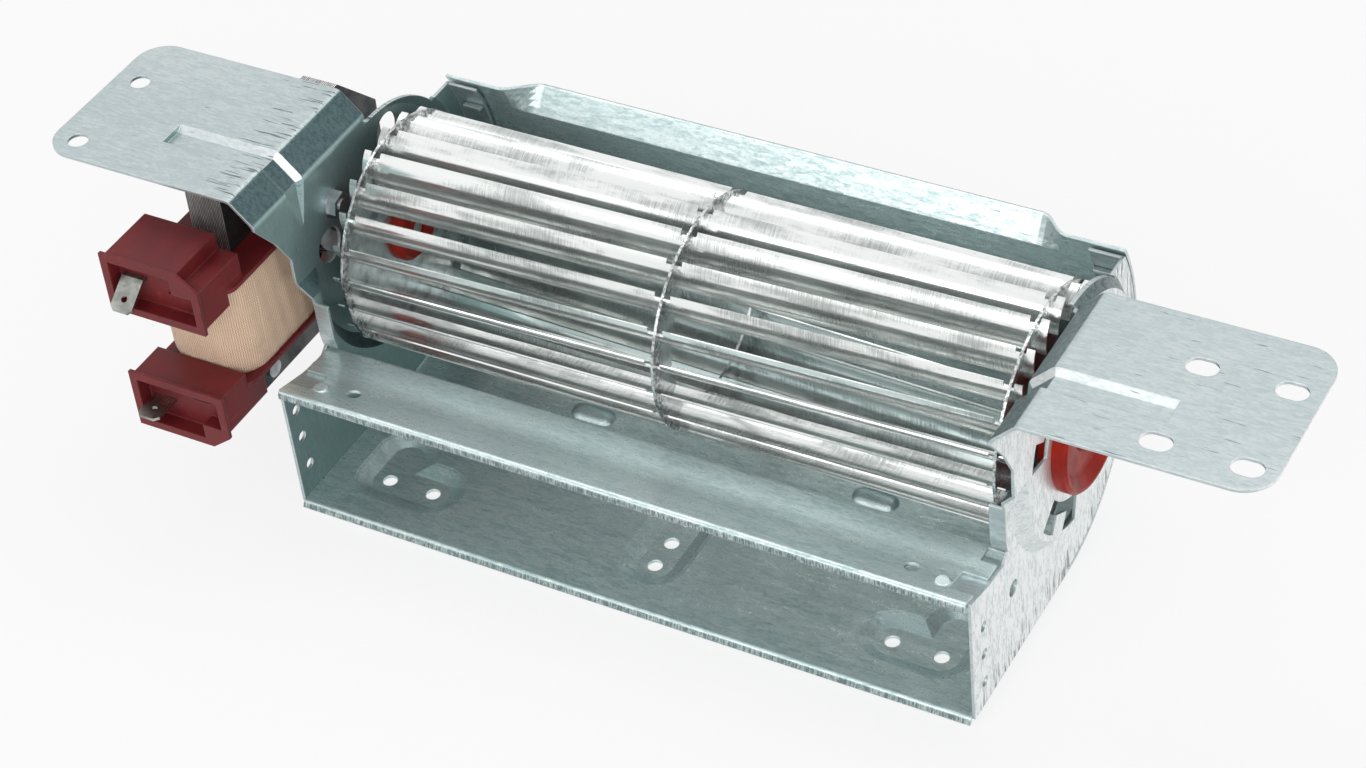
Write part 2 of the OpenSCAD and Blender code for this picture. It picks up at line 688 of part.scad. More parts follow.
// Round-ended lugs pressed up from the base behind the pads
ridge_x = 40;
ridge_y = 1.6;
ridge_l = 13;
ridge_r = 3.2;
ridge_h = 2;
module lug(r) {
    half = ridge_l / 2 - ridge_r;
    translate([0, ridge_y, ridge_h - ridge_r - base_drop])
        around_x()
            polygon(concat(arc_points([0, -half], r, -90, 0, 6),
                arc_points([0, half], r, 0, 90, 6)));
}
module scroll_sheet() {
    lock_z = scroll_lock_z + sheet_t / 2 - turn2[1];
    lock_y = turn2[0] + sqrt(pow(scroll_r2 + sheet_t / 2, 2) - lock_z * lock_z);
    base_z = -base_drop - sheet_t / 2;
    base_path = [[-outlet_front - 1.1, -base_drop - 2], [-outlet_front - 0.4, base_z],
        [turn1[0] - over, base_z]];
    color(steel)
        difference() {
            union() {
                difference() {
                    along_x(-scroll_x, scroll_x)
                        polygon(concat(side_points(base_path, sheet_t / 2, fold_r),
                            scroll_curve(0, crease_a),
                            reversed(scroll_curve(sheet_t, crease_a)),
                            reversed(side_points(base_path, -sheet_t / 2, fold_r))));
                    for (run = pad_runs)
                        dish(run[0], run[1],
                            pad_r + pad_slope * (pad_d - sheet_t - over) / pad_d + 0.3,
                            -base_drop - sheet_t - over, -base_drop + over);
                }
                for (side = [-1, 1])
                    along_x(min(side * scroll_x, side * (lip_half + lip_fade)),
                        max(side * scroll_x, side * (lip_half + lip_fade)))
                        polygon(concat(
                            arc_points(turn2, scroll_r2, crease_a, scroll_top_a, lip_steps),
                            reversed(arc_points(turn2, scroll_r2 + sheet_t, crease_a,
                                scroll_top_a, lip_steps))));
                flared_lip();
                difference() {
                    for (run = pad_runs)
                        dish(run[0], run[1], pad_r + 0.2, -base_drop - pad_d - sheet_t,
                            -base_drop - 0.2);
                    for (run = pad_runs)
                        dish(run[0], run[1], pad_r, -base_drop - pad_d, -base_drop + over);
                }
                for (side = [-1, 1]) {
                    translate([side * ridge_x, 0, 0])
                        lug(ridge_r);
                    translate([side * (plate_out - (lock_x0 + lock_x1) / 2),
                        lock_y - lock_reach / 2, scroll_lock_z + sheet_t / 2])
                        cube([lock_x1 - lock_x0, lock_reach, sheet_t], center = true);
                }
            }
            for (side = [-1, 1]) {
                translate([side * ridge_x, 0, 0])
                    lug(ridge_r - sheet_t);
                translate([side * ridge_x, ridge_y, -base_drop - sheet_t - ridge_r])
                    cube([ridge_l + 2 * over, 4 * ridge_r, 2 * ridge_r], center = true);
                translate([side * (plate_in - fit + far / 4), base_end_y + fit - far / 4,
                    -base_drop - sheet_t])
                    cube([far / 2, far / 2, 8 * sheet_t], center = true);
            }
            for (p = pad_holes)
                translate([p[0], p[1], low_z - over])
                    cylinder(r = pad_hole_r, h = pad_d + 2 * over);
        }
}

// The roof of the outlet lies on the end plates' flanges, with a lip turned down at its front.
// Near each end it is pressed into the flange below and notched beside that
clinch_x = 83.4;
clinch_y = -50;
clinch_r = 2.3;
roof_notch_x = 85.6;
roof_notch_y = -47.8;
roof_notch_w = 7.4;
module cutoff_sheet() {
    rise = sheet_t / 2 + lap;
    front = [roof_front_y - 0.5, roof_path[0][1] + 0.1];
    color(steel)
        difference() {
            union() {
                along_x(-plate_in + lap, plate_in - lap)
                    translate([0, rise])
                        folded([front + [-0.1, -2], front, roof_path[1],
                            [roof_rear_y, roof_rear_z], [roof_rear_y + 0.4, roof_rear_z - 3.5]],
                            sheet_t, [0, fold_r, roof_bend_r, fold_r]);
                for (side = [-1, 1])
                    translate([side * clinch_x, clinch_y, roof_rear_z + 1.8])
                        cylinder(r1 = clinch_r, r2 = clinch_r - 0.7, h = 1.2);
            }
            translate([plate_in - 4.2, -38.9, roof_rear_z - 2])
                cube([5, 4.2, 5]);
            for (side = [-1, 1]) {
                translate([side * (roof_notch_x + plate_in) / 2, roof_notch_y, roof_rear_z])
                    cube([plate_in - roof_notch_x, roof_notch_w, far / 20], center = true);
                translate([side * 75, -48.1, roof_rear_z - 2])
                    cylinder(r = 1.75, h = 8);
            }
        }
}

// Section of a blade across the wheel: a strip along an arc, with its outer edge on the rim
module blade_section(gap) {
    centre = [wheel_r - blade_curve_r * cos(blade_rake), -blade_curve_r * sin(blade_rake)];
    margin = gap / blade_curve_r * 180 / PI;
    arc_band(centre, blade_curve_r - blade_t - gap, blade_t + 2 * gap, blade_rake - margin,
        blade_rake + blade_span + margin);
}

// Every blade's stretch between two places along the wheel
module blades(x0, x1, gap) {
    for (i = [0 : blade_count - 1])
        rotate([blade_phase + 360 * i / blade_count, 0, 0])
            rotate([0, blade_skew, 0])
                along_x(x0, x1)
                    blade_section(gap);
}

notch_outer = 1.8;
module impeller_blades() {
    color(bright)
        difference() {
            blades(-wheel_l / 2, wheel_l / 2, 0);
            for (span = [[-disc_x - 0.8, -disc_x + notch_outer], [ring_x - 2.2, ring_x + 1.9],
                [disc_x - notch_outer, disc_x + 0.8]])
                along_x(span[0], span[1])
                    difference() {
                        circle(wheel_r + 2);
                        circle(wheel_r - notch_d);
                    }
        }
}

// A disc or ring of the wheel, with a slot for every blade under its rim
module slotted_disc(x, bore_r) {
    color(bright)
        difference() {
            along_x(x - disc_t / 2, x + disc_t / 2)
                difference() {
                    circle(wheel_r);
                    circle(bore_r);
                }
            intersection() {
                blades(x - disc_t, x + disc_t, slot_gap);
                along_x(x - 2 * disc_t, x + 2 * disc_t)
                    circle(wheel_r - notch_d + slot_gap);
            }
        }
}

module motor_end_disc() {
    slotted_disc(-disc_x, hub_neck_r + fit);
}

module middle_ring() {
    slotted_disc(ring_x, ring_inner_r);
}

module bearing_end_disc() {
    slotted_disc(disc_x, stub_r + fit);
}

// Soft hub that grips the motor-end disc in its groove and the motor's shaft in its bore
module coupling_hub() {
    x0 = -disc_x - disc_t / 2 - fit;
    x1 = -disc_x + disc_t / 2 + fit;
    color(silicone)
        around_x()
            polygon([[shaft_r + fit, x0 - hub_flange_t], [hub_r - 1.2, x0 - hub_flange_t],
                [hub_r, x0 - hub_flange_t + 1.2], [hub_r, x0], [hub_neck_r, x0],
                [hub_neck_r, x1], [hub_r, x1], [hub_r, x1 + hub_flange_t - 1.2],
                [hub_r - 1.2, x1 + hub_flange_t], [shaft_r + fit, x1 + hub_flange_t]]);
}

// Turned stub with a flange and a collar that clamp the bearing-end disc
module stub_shaft() {
    x0 = disc_x - disc_t / 2 - fit;
    x1 = disc_x + disc_t / 2 + fit;
    color(bright)
        around_x()
            polygon([[0, x0 - stub_flange_t], [stub_flange_r, x0 - stub_flange_t],
                [stub_flange_r, x0], [stub_r, x0], [stub_r, x1], [stub_collar_r, x1],
                [stub_collar_r, x1 + stub_collar_t], [stub_r, x1 + stub_collar_t],
                [stub_r, stub_end - 0.6], [stub_r - 0.6, stub_end], [0, stub_end]]);
}

end_bush_x0 = cup_back + 0.6;
end_bush_x1 = raised_out + 2;
module end_bearing_bush() {
    color(bronze)
        along_x(end_bush_x0, end_bush_x1)
            difference() {
                circle(bush_r);
                circle(stub_r + run_gap);
            }
}

// Silicone cup: its groove grips the edge of the plate's hole, and its boss holds the bush
module bearing_cup() {
    color(silicone)
        around_x()
            polygon([[bush_r + fit, cup_back], [cup_r - 1, cup_back], [cup_r - 0.4, raised_in - fit],
                [cup_seat_r, raised_in - fit], [cup_seat_r, raised_out + fit],
                [cup_r, raised_out + fit], [cup_r, cup_front - 0.8], [cup_r - 0.8, cup_front],
                [cup_r - 1.5, cup_front], [cup_recess_r, cup_floor], [cup_mouth_r + 0.4, cup_floor],
                [cup_mouth_r, cup_floor - 0.4], [cup_mouth_r - 0.6, raised_in + 1.2],
                [bush_r + fit, raised_in + 1.2]]);
}

// Outline of the pole laminations, with the recesses that take the coil leg's ends
module stack_outline() {
    half = stack_w / 2;
    cut_y = stack_cut - half;
    cut_z = stack_cut - stack_back;
    polygon([[leg_y0, -half], [leg_y0, half], [cut_y, half], [stack_back, cut_z],
        [stack_back, -cut_z], [cut_y, -half]]);
}

module leg_outline(gap) {
    polygon([[leg_y0 - gap, -window_z], [leg_y0 + 2 - gap, -leg_end_z - gap],
        [window_y0 - 2 + gap, -leg_end_z - gap], [window_y0 + gap, -window_z],
        [window_y0 + gap, window_z], [window_y0 - 2 + gap, leg_end_z + gap],
        [leg_y0 + 2 - gap, leg_end_z + gap], [leg_y0 - gap, window_z]]);
}

rivet_r = 1.5;
rivet_head_r = 2.4;
rivet_head_t = 0.7;
rivet_places = [[-35.5, 26.6], [-35.5, -26.6], [10, 24.6], [10, -24.6]];
ring_w = 3;
ring_wire = 1.2;
ring_reach = rotor_r + air_gap + 1.5;
module shade_slot(gap) {
    translate([ring_reach - ring_wire - gap, -ring_w / 2 - gap])
        square([ring_wire + 2 * gap, ring_w + 2 * gap]);
    translate([ring_reach + 2.4 - gap, -ring_w / 2 - gap])
        square([ring_wire + 2 * gap, ring_w + 2 * gap]);
}

module stator_laminations() {
    color(laminations)
        along_x(-motor_x1, -motor_x0)
            difference() {
                stack_outline();
                leg_outline(fit);
                translate([leg_y0 - over, -window_z])
                    square([window_y1 - leg_y0 + over, 2 * window_z]);
                circle(rotor_r + air_gap);
                for (a = [135, 315])
                    rotate(a)
                        translate([screw_reach, 0])
                            circle(screw_r + 0.1);
                for (p = rivet_places)
                    translate(p)
                        circle(rivet_r + fit);
                for (a = [shade_a, shade_a + 180])
                    rotate(a)
                        shade_slot(fit);
            }
}

module coil_leg_laminations() {
    color(laminations)
        along_x(-motor_x1, -motor_x0)
            leg_outline(0);
}

// Closed copper loops through the slots of the poles
module shading_rings() {
    stand = 1.6;
    x0 = -motor_x1 - stand;
    x1 = -motor_x0 + stand;
    color(copper)
        for (a = [shade_a, shade_a + 180])
            rotate([a, 0, 0])
                difference() {
                    translate([x0, ring_reach - ring_wire, -ring_w / 2])
                        cube([x1 - x0, 2.4 + 2 * ring_wire, ring_w]);
                    translate([-motor_x1 - fit, ring_reach, -ring_w / 2 - over])
                        cube([stack_t + 2 * fit, 2.4, ring_w + 2 * over]);
                }
}

module rotor_core() {
    color(laminations)
        along_x(-motor_x1, -motor_x0)
            difference() {
                circle(rotor_r);
                circle(shaft_r + fit);
                for (i = [0 : bar_count - 1])
                    rotate(360 * i / bar_count)
                        translate([bar_reach, 0])
                            circle(bar_r + fit);
            }
}

module rotor_cage() {
    color(bright) {
        for (x = [-motor_x1 - cage_ring_l, -motor_x0 + fit])
            along_x(x, x + cage_ring_l - fit)
                difference() {
                    circle(rotor_r - 0.3);
                    circle(6.5);
                }
        along_x(-motor_x1 - over, -motor_x0 + over)
            for (i = [0 : bar_count - 1])
                rotate(360 * i / bar_count)
                    translate([bar_reach, 0])
                        circle(bar_r);
    }
}

shaft_x0 = -rear_strap_x - bracket_t - 0.8;
shaft_x1 = -disc_x + disc_t / 2 + hub_flange_t - 0.4;
module motor_shaft() {
    color(bright)
        around_x()
            polygon([[0, shaft_x0], [shaft_r - 0.4, shaft_x0], [shaft_r, shaft_x0 + 0.4],
                [shaft_r, shaft_x1 - 0.4], [shaft_r - 0.4, shaft_x1], [0, shaft_x1]]);
}

// A bearing bracket: a strap across the stack, two hollow legs and a cup for the bush
module bearing_bracket(strap_x0, strap_x1, leg_x, cup_x) {
    color("#9fa3a4")
        difference() {
            union() {
                rotate([135, 0, 0])
                    translate([strap_x0, -screw_reach, -strap_w / 2])
                        cube([strap_x1 - strap_x0, 2 * screw_reach, strap_w]);
                for (a = [135, 315])
                    rotate([a, 0, 0])
                        translate([0, screw_reach, 0]) {
                            along_x(strap_x0, strap_x1)
                                circle(strap_w / 2);
                            along_x(min(leg_x, strap_x0), max(leg_x, strap_x1))
                                circle(leg_r);
                        }
                along_x(min(cup_x, strap_x0), max(cup_x, strap_x1))
                    circle(bush_r + bush_wall);
            }
            for (a = [135, 315])
                rotate([a, 0, 0])
                    translate([0, screw_reach, 0])
                        along_x(min(leg_x, strap_x0) - over, max(leg_x, strap_x1) + over)
                            circle(screw_r + 0.1);
            along_x(min(cup_x, strap_x0) - over, max(cup_x, strap_x1) + over)
                circle(bush_r + fit);
        }
}

front_strap_x0 = -front_strap_x - bracket_t;
front_cup_x = front_strap_x0 - bush_l + bracket_t;
module front_bearing_bracket() {
    bearing_bracket(front_strap_x0, -front_strap_x, -motor_x0, front_cup_x);
}

rear_cup_x = -rear_strap_x + bush_l - bracket_t;
module rear_bearing_bracket() {
    bearing_bracket(-rear_strap_x - bracket_t, -rear_strap_x, -motor_x1, rear_cup_x);
}

module motor_bushes() {
    color(bronze)
        for (span = [[front_cup_x, -front_strap_x], [-rear_strap_x - bracket_t, rear_cup_x]])
            along_x(span[0], span[1])
                difference() {
                    circle(bush_r);
                    circle(shaft_r + run_gap);
                }
}

// A rectangle in the XY plane with round corners
module round_box(x0, x1, y0, y1, z0, z1, r) {
    translate([x0 + r, y0, z0])
        cube([x1 - x0 - 2 * r, y1 - y0, z1 - z0]);
    translate([x0, y0 + r, z0])
        cube([x1 - x0, y1 - y0 - 2 * r, z1 - z0]);
    for (x = [x0 + r, x1 - r], y = [y0 + r, y1 - r])
        translate([x, y, z0])
            cylinder(r = r, h = z1 - z0);
}

// Outline of a terminal socket, seen from its mouth: its far side steps down to a shelf. The
// flared rim runs straight from the step to the shelf's corner
module socket_outline(grow) {
    polygon([[-socket_x1 - grow, socket_z0 - grow], [-socket_x0 + grow, socket_z0 - grow],
        [-socket_x0 + grow, socket_shelf_z + grow], [-socket_step_x + grow, socket_shelf_z + grow],
        [-socket_step_x + grow, socket_z1 + grow], [-socket_x1 - grow, socket_z1 + grow]]);
}

module socket_rim(grow) {
    polygon([[-socket_x1 - grow, socket_z0 - grow], [-socket_x0 + grow, socket_z0 - grow],
        [-socket_x0 + grow, socket_shelf_z + grow], [-socket_step_x + grow, socket_z1 + grow],
        [-socket_x1 - grow, socket_z1 + grow]]);
}

module terminal_socket() {
    difference() {
        union() {
            along_y(socket_front + socket_lip, coil_y0 - 0.6)
                socket_outline(0);
            along_y(socket_front, socket_front + socket_lip)
                socket_rim(0.8);
            intersection() {
                along_y(coil_y0 - 2, -48)
                    socket_outline(0);
                translate([-far / 2, -far / 2, bobbin_z0])
                    cube([far, far, far]);
            }
        }
        along_y(socket_front - over, socket_floor)
            socket_outline(-socket_wall);
        translate([-tab_x - tab_w / 2 - fit, socket_floor - over, tab_z - tab_t / 2 - fit])
            cube([tab_w + 2 * fit, 6, tab_t + 2 * fit]);
        translate([-slit_x - slit_l / 2, socket_floor - over, slit_z])
            cube([slit_l, slit_d + over, slit_h]);
    }
}

module coil_bobbin() {
    color(maroon)
        difference() {
            union() {
                for (side = [0, 1])
                    mirror([0, 0, side]) {
                        round_box(-bobbin_x1, -bobbin_x0, bobbin_front, bobbin_back, bobbin_z0,
                            bobbin_z1, 4);
                        terminal_socket();
                    }
                translate([-motor_x1 - tube_wall, leg_y0 - tube_wall, -bobbin_z0])
                    cube([stack_t + 2 * tube_wall, window_y0 - leg_y0 + 2 * tube_wall, coil_l]);
            }
            translate([-motor_x1 - lap, leg_y0 - lap, -bobbin_z1 - over])
                cube([stack_t + 2 * lap, window_y0 - leg_y0 + 2 * lap, 2 * (bobbin_z1 + over)]);
        }
}

module coil_form(shrink, r) {
    round_box(-motor_mid - coil_w / 2 + shrink, -motor_mid + coil_w / 2 - shrink,
        coil_y0 + shrink, coil_y1 - shrink, -bobbin_z0 + lap, bobbin_z0 - lap, r);
}

module coil_winding() {
    gap = tube_wall + lap;
    color(copper)
        difference() {
            coil_form(tape_t + fit, coil_corner - tape_t);
            translate([-motor_x1 - gap, leg_y0 - gap, -bobbin_z0])
                cube([stack_t + 2 * gap, window_y0 - leg_y0 + 2 * gap, coil_l]);
        }
}

module coil_tape() {
    color(tape)
        difference() {
            coil_form(0, coil_corner);
            round_box(-motor_mid - coil_w / 2 + tape_t, -motor_mid + coil_w / 2 - tape_t,
                coil_y0 + tape_t, coil_y1 - tape_t, -bobbin_z0, bobbin_z0,
                coil_corner - tape_t);
        }
}

// Flat tab outline along -Y from its root, with a clipped tip and a hole near it
module tab_blade(length) {
    half = tab_w / 2;
    difference() {
        translate([0, 0, -tab_t / 2])
            linear_extrude(height = tab_t)
                polygon([[-half, 0], [half, 0], [half, -length + 1.2], [half - 1.2, -length],
                    [1.2 - half, -length], [-half, -length + 1.2]]);
        translate([0, -length + 3.4, -over])
            cylinder(r = tab_hole_r, h = 2 * over);
    }
}

module terminal_tabs() {
    foot = socket_floor + 4.4;
    color(bright) {
        translate([-tab_x - tab_w / 2, tab_root, tab_z - tab_t / 2])
            cube([tab_w, foot - tab_root, tab_t]);
        translate([-tab_x, tab_root, tab_z])
            rotate([tab_bend, 0, 0])
                tab_blade(tab_len);
        translate([-tab_x, foot, -tab_z])
            tab_blade(foot - lower_tab_tip);
    }
}

// What stands at both screws, drawn round the screw's own line
module at_screws() {
    for (a = [135, 315])
        rotate([a, 0, 0])
            translate([0, screw_reach, 0])
                children();
}

module motor_screws() {
    head_x = -rear_strap_x - bracket_t;
    color(bright)
        at_screws() {
            along_x(head_x - head_t - fit, head_x - fit)
                difference() {
                    circle(head_r);
                    square([1, 2 * head_r], center = true);
                }
            along_x(head_x - head_t / 2, -screw_tip)
                circle(screw_r);
        }
}

module motor_nuts() {
    x = -raised_in + washer_t + 2 * fit;
    color(bright)
        at_screws()
            along_x(x, x + nut_t)
                difference() {
                    circle(nut_r, $fn = 6);
                    circle(screw_r + fit);
                }
}

module lock_washers() {
    x = -raised_in + fit;
    color(bright)
        at_screws()
            along_x(x, x + washer_t)
                difference() {
                    circle(washer_r);
                    circle(screw_r + 0.1);
                }
}

module motor_spacers() {
    color("#2c2c2c")
        at_screws()
            along_x(-front_strap_x + fit, -raised_out - fit)
                difference() {
                    circle(5);
                    circle(screw_r + 0.1);
                }
}

module stack_rivets() {
    color(bright)
        for (p = rivet_places)
            translate([0, p[0], p[1]]) {
                along_x(-motor_x1 - rivet_head_t / 2, -motor_x0 + rivet_head_t / 2)
                    circle(rivet_r);
                for (x = [-motor_x1 - rivet_head_t - fit, -motor_x0 + fit])
                    along_x(x, x + rivet_head_t)
                        circle(rivet_head_r);
            }
}

translate([0, -mid_y, -low_z]) {
    motor_side_plate();
    bearing_side_plate();
    scroll_sheet();
    cutoff_sheet();
    impeller_blades();
    motor_end_disc();
    middle_ring();
    bearing_end_disc();
    coupling_hub();
    stub_shaft();
    end_bearing_bush();
    bearing_cup();
    stator_laminations();
    coil_leg_laminations();
    shading_rings();
    rotor_core();
    rotor_cage();
    motor_shaft();
    front_bearing_bracket();
    rear_bearing_bracket();
    motor_bushes();
    coil_bobbin();
    coil_winding();
    coil_tape();
    terminal_tabs();
    motor_screws();
    motor_nuts();
    lock_washers();
    motor_spacers();
    stack_rivets();
}
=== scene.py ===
"""The looks of a tangential oven fan: galvanised housing, bright bladed wheel and small motor.

Lengths are in metres in the row frame. AXIS is the wheel's axis, which runs along X.
"""

import bpy
import numpy as np
from mathutils import Matrix, Vector


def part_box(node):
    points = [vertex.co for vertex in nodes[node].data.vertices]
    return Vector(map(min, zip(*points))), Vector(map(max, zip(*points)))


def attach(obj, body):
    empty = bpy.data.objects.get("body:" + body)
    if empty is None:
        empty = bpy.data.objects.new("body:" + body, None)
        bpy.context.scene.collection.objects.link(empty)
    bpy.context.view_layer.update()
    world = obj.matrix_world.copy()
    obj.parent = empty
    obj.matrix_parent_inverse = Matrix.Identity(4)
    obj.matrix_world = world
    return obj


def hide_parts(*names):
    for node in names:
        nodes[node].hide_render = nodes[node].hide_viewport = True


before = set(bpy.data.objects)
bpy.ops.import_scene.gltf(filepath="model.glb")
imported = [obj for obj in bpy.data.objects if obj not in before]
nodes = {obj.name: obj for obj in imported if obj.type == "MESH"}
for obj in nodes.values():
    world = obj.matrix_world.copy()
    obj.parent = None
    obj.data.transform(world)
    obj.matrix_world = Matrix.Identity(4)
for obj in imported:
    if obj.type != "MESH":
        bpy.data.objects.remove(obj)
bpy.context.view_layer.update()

AXIS = np.array([0.0, 0.014898, 0.0513])


# Helpers for meshes

def surface(name, points, wrap_u=False, wrap_v=False, uv=None):
    """A grid of points, rows along u and columns along v, joined to their neighbours by quads.
    Where wrap is set, the last row or column joins the first."""
    rows, cols = points.shape[:2]
    index = np.arange(rows * cols).reshape(rows, cols)
    u = np.arange(rows if wrap_u else rows - 1)
    v = np.arange(cols if wrap_v else cols - 1)
    a, b = np.meshgrid(u, v, indexing="ij")
    a2, b2 = (a + 1) % rows, (b + 1) % cols
    quads = np.stack([index[a, b], index[a2, b], index[a2, b2], index[a, b2]], axis=-1)
    quads = quads.reshape(-1, 4)
    mesh = bpy.data.meshes.new(name)
    mesh.vertices.add(rows * cols)
    mesh.vertices.foreach_set("co", points.reshape(-1).astype(np.float32))
    mesh.loops.add(quads.size)
    mesh.loops.foreach_set("vertex_index", quads.reshape(-1).astype(np.int32))
    mesh.polygons.add(len(quads))
    mesh.polygons.foreach_set("loop_start", np.arange(0, quads.size, 4, dtype=np.int32))
    mesh.polygons.foreach_set("use_smooth", np.ones(len(quads), bool))
    if uv is not None:
        across = np.stack([a, a + 1, a + 1, a], axis=-1).reshape(-1)
        along = np.stack([b, b, b + 1, b + 1], axis=-1).reshape(-1)
        layer = mesh.uv_layers.new(name="surface")
        layer.data.foreach_set("uv", uv[across, along].reshape(-1).astype(np.float32))
    mesh.update(calc_edges=True)
    mesh.validate()
    piece = bpy.data.objects.new(name, mesh)
    bpy.context.scene.collection.objects.link(piece)
    return piece


# Helpers for shader nodes

def add(tree, kind, inputs=None, **settings):
    """A node with its settings. An input is a value, or a socket that is linked to it."""
    made = tree.nodes.new(kind)
    for key, value in settings.items():
        setattr(made, key, value)
    for key, value in (inputs or {}).items():
        if isinstance(value, bpy.types.NodeSocket):
            tree.links.new(value, made.inputs[key])
        else:
            made.inputs[key].default_value = value
    return made


def sums(tree, operation, a, b=0.0, c=0.0):
    """The result of one Math node on up to three values or sockets."""
    return add(tree, "ShaderNodeMath", {0: a, 1: b, 2: c}, operation=operation).outputs[0]


def between(tree, value, low, high, to_low=0.0, to_high=1.0):
    """A value carried smoothly from the range low to high to another range."""
    return add(tree, "ShaderNodeMapRange", {"Value": value, "From Min": low, "From Max": high,
        "To Min": to_low, "To Max": to_high}, interpolation_type="SMOOTHSTEP").outputs["Result"]


def blend_colour(tree, share, a, b):
    """Colour a with a share of colour b over it."""
    return add(tree, "ShaderNodeMix", {0: share, 6: a, 7: b}, data_type="RGBA").outputs[2]


def stretched(tree, vector, scale):
    """A position scaled along each axis, so that a pattern on it is drawn out where the scale
    is small."""
    return add(tree, "ShaderNodeMapping", {"Vector": vector, "Scale": scale},
        vector_type="POINT").outputs[0]


def noise(tree, vector, scale, detail=3.0, roughness=0.55):
    return add(tree, "ShaderNodeTexNoise", {"Vector": vector, "Scale": scale, "Detail": detail,
        "Roughness": roughness}).outputs["Fac"]


def group(name, inputs, outputs, build):
    """A node group. inputs are (name, kind, value) and build returns a socket per output."""
    tree = bpy.data.node_groups.new(name, "ShaderNodeTree")
    for label, kind, value in inputs:
        socket = tree.interface.new_socket(label, in_out="INPUT", socket_type=kind)
        if value is not None:
            socket.default_value = value
    for label, kind in outputs:
        tree.interface.new_socket(label, in_out="OUTPUT", socket_type=kind)
    given = tree.nodes.new("NodeGroupInput").outputs
    result = tree.nodes.new("NodeGroupOutput")
    for key, socket in build(tree, given).items():
        tree.links.new(socket, result.inputs[key])
    return tree


def use(tree, effect, inputs):
    """A shared effect placed in a material with its own values. Its outputs go by name."""
    return add(tree, "ShaderNodeGroup", inputs, node_tree=effect).outputs


FLOAT, VECTOR = "NodeSocketFloat", "NodeSocketVector"


# Effects that several materials share

def spangle_nodes(tree, given):
    """Zinc crystals drawn out by the rollers: small long cells of almost the same tone, under
    wide clouds and a fine grit."""
    long = stretched(tree, given["Laid"], (0.45, 1.6, 1.6))
    cells = add(tree, "ShaderNodeTexVoronoi", {"Vector": long, "Scale": given["Scale"],
        "Smoothness": 0.5}, feature="SMOOTH_F1")
    tone = add(tree, "ShaderNodeSeparateColor", {0: cells.outputs["Color"]}).outputs[0]
    cloud = noise(tree, stretched(tree, given["Laid"], (0.6, 1.2, 1.2)), 34.0, 4.0, 0.55)
    grit = noise(tree, stretched(tree, given["Laid"], (0.35, 1.0, 1.0)), 2600.0, 2.0, 0.6)
    mixed = sums(tree, "MULTIPLY_ADD", tone, 0.2, sums(tree, "MULTIPLY_ADD", grit, 0.5,
        sums(tree, "MULTIPLY", cloud, 0.3)))
    return {"Tone": mixed, "Facet": tone, "Grit": grit}


spangle = group("zinc spangle", [("Laid", VECTOR, None), ("Scale", FLOAT, 900.0)],
    [("Tone", FLOAT), ("Facet", FLOAT), ("Grit", FLOAT)], spangle_nodes)


def lay_nodes(tree, given):
    """Which way a sheet was rolled, for a plate with a flange bent from it: upright faces that
    look along X keep the lines upright, and all others carry them along X. The other outputs
    tell its faces apart: Slanted for the strip under the flange, Outward and Inward for the
    plate's two sides, and Front and Rear for the bead's slopes."""
    x, y, z = add(tree, "ShaderNodeSeparateXYZ", {0: given["Position"]}).outputs
    normal = add(tree, "ShaderNodeTexCoord").outputs["Normal"]
    facing, sideways, rising = add(tree, "ShaderNodeSeparateXYZ", {0: normal}).outputs
    upright = between(tree, sums(tree, "ABSOLUTE", facing), 0.78, 0.9)
    up = between(tree, rising, 0.2, 0.45)
    slanted = sums(tree, "MULTIPLY", up, sums(tree, "SUBTRACT",
        between(tree, sums(tree, "ABSOLUTE", facing), 0.4, 0.6), upright))
    sense = sums(tree, "MULTIPLY", facing, sums(tree, "SIGN", x))
    outward, inward = between(tree, sense, 0.45, 0.95), between(tree, sense, -0.35, -0.6)
    flat = add(tree, "ShaderNodeCombineXYZ", {0: x, 1: y, 2: z}).outputs[0]
    stood = add(tree, "ShaderNodeCombineXYZ", {0: z, 1: y, 2: x}).outputs[0]
    laid = add(tree, "ShaderNodeMix", {0: upright, 4: flat, 5: stood}, data_type="VECTOR")
    return {"Laid": laid.outputs[1], "Upright": upright, "Slanted": slanted,
        "Outward": outward, "Inward": inward,
        "Front": sums(tree, "MULTIPLY", up, between(tree, sideways, -0.3, -0.6)),
        "Rear": sums(tree, "MULTIPLY", up, between(tree, sideways, 0.3, 0.6))}


lay = group("rolling direction", [("Position", VECTOR, None)],
    [("Laid", VECTOR), ("Upright", FLOAT), ("Slanted", FLOAT), ("Outward", FLOAT),
    ("Inward", FLOAT), ("Front", FLOAT), ("Rear", FLOAT)], lay_nodes)


def mark_nodes(tree, given):
    """Short dark press marks along the rolling direction: noise drawn out that way, where it
    passes a height that falls as the mask rises."""
    drawn = add(tree, "ShaderNodeVectorMath", {0: given["Laid"], 1: (120.0, 1700.0, 1700.0)},
        operation="MULTIPLY").outputs[0]
    lines = noise(tree, drawn, 1.0, 2.0, 0.5)
    least = sums(tree, "MULTIPLY_ADD", given["Mask"], -0.17, 0.72)
    over = sums(tree, "SUBTRACT", lines, least)
    return {"Marks": between(tree, over, 0.0, 0.05)}


marks = group("press marks", [("Laid", VECTOR, None), ("Mask", FLOAT, 0.0)],
    [("Marks", FLOAT)], mark_nodes)


def grain_nodes(tree, given):
    """Fine lines along one direction: noise whose scale along that direction is small."""
    place = add(tree, "ShaderNodeVectorMath", {0: given["Position"], 1: given["Stretch"]},
        operation="MULTIPLY").outputs[0]
    lines = noise(tree, place, 1.0, 4.0, 0.65)
    broad = noise(tree, add(tree, "ShaderNodeVectorMath", {0: place, 3: 0.22},
        operation="SCALE").outputs[0], 1.0, 2.0, 0.5)
    return {"Lines": lines, "Bands": broad}


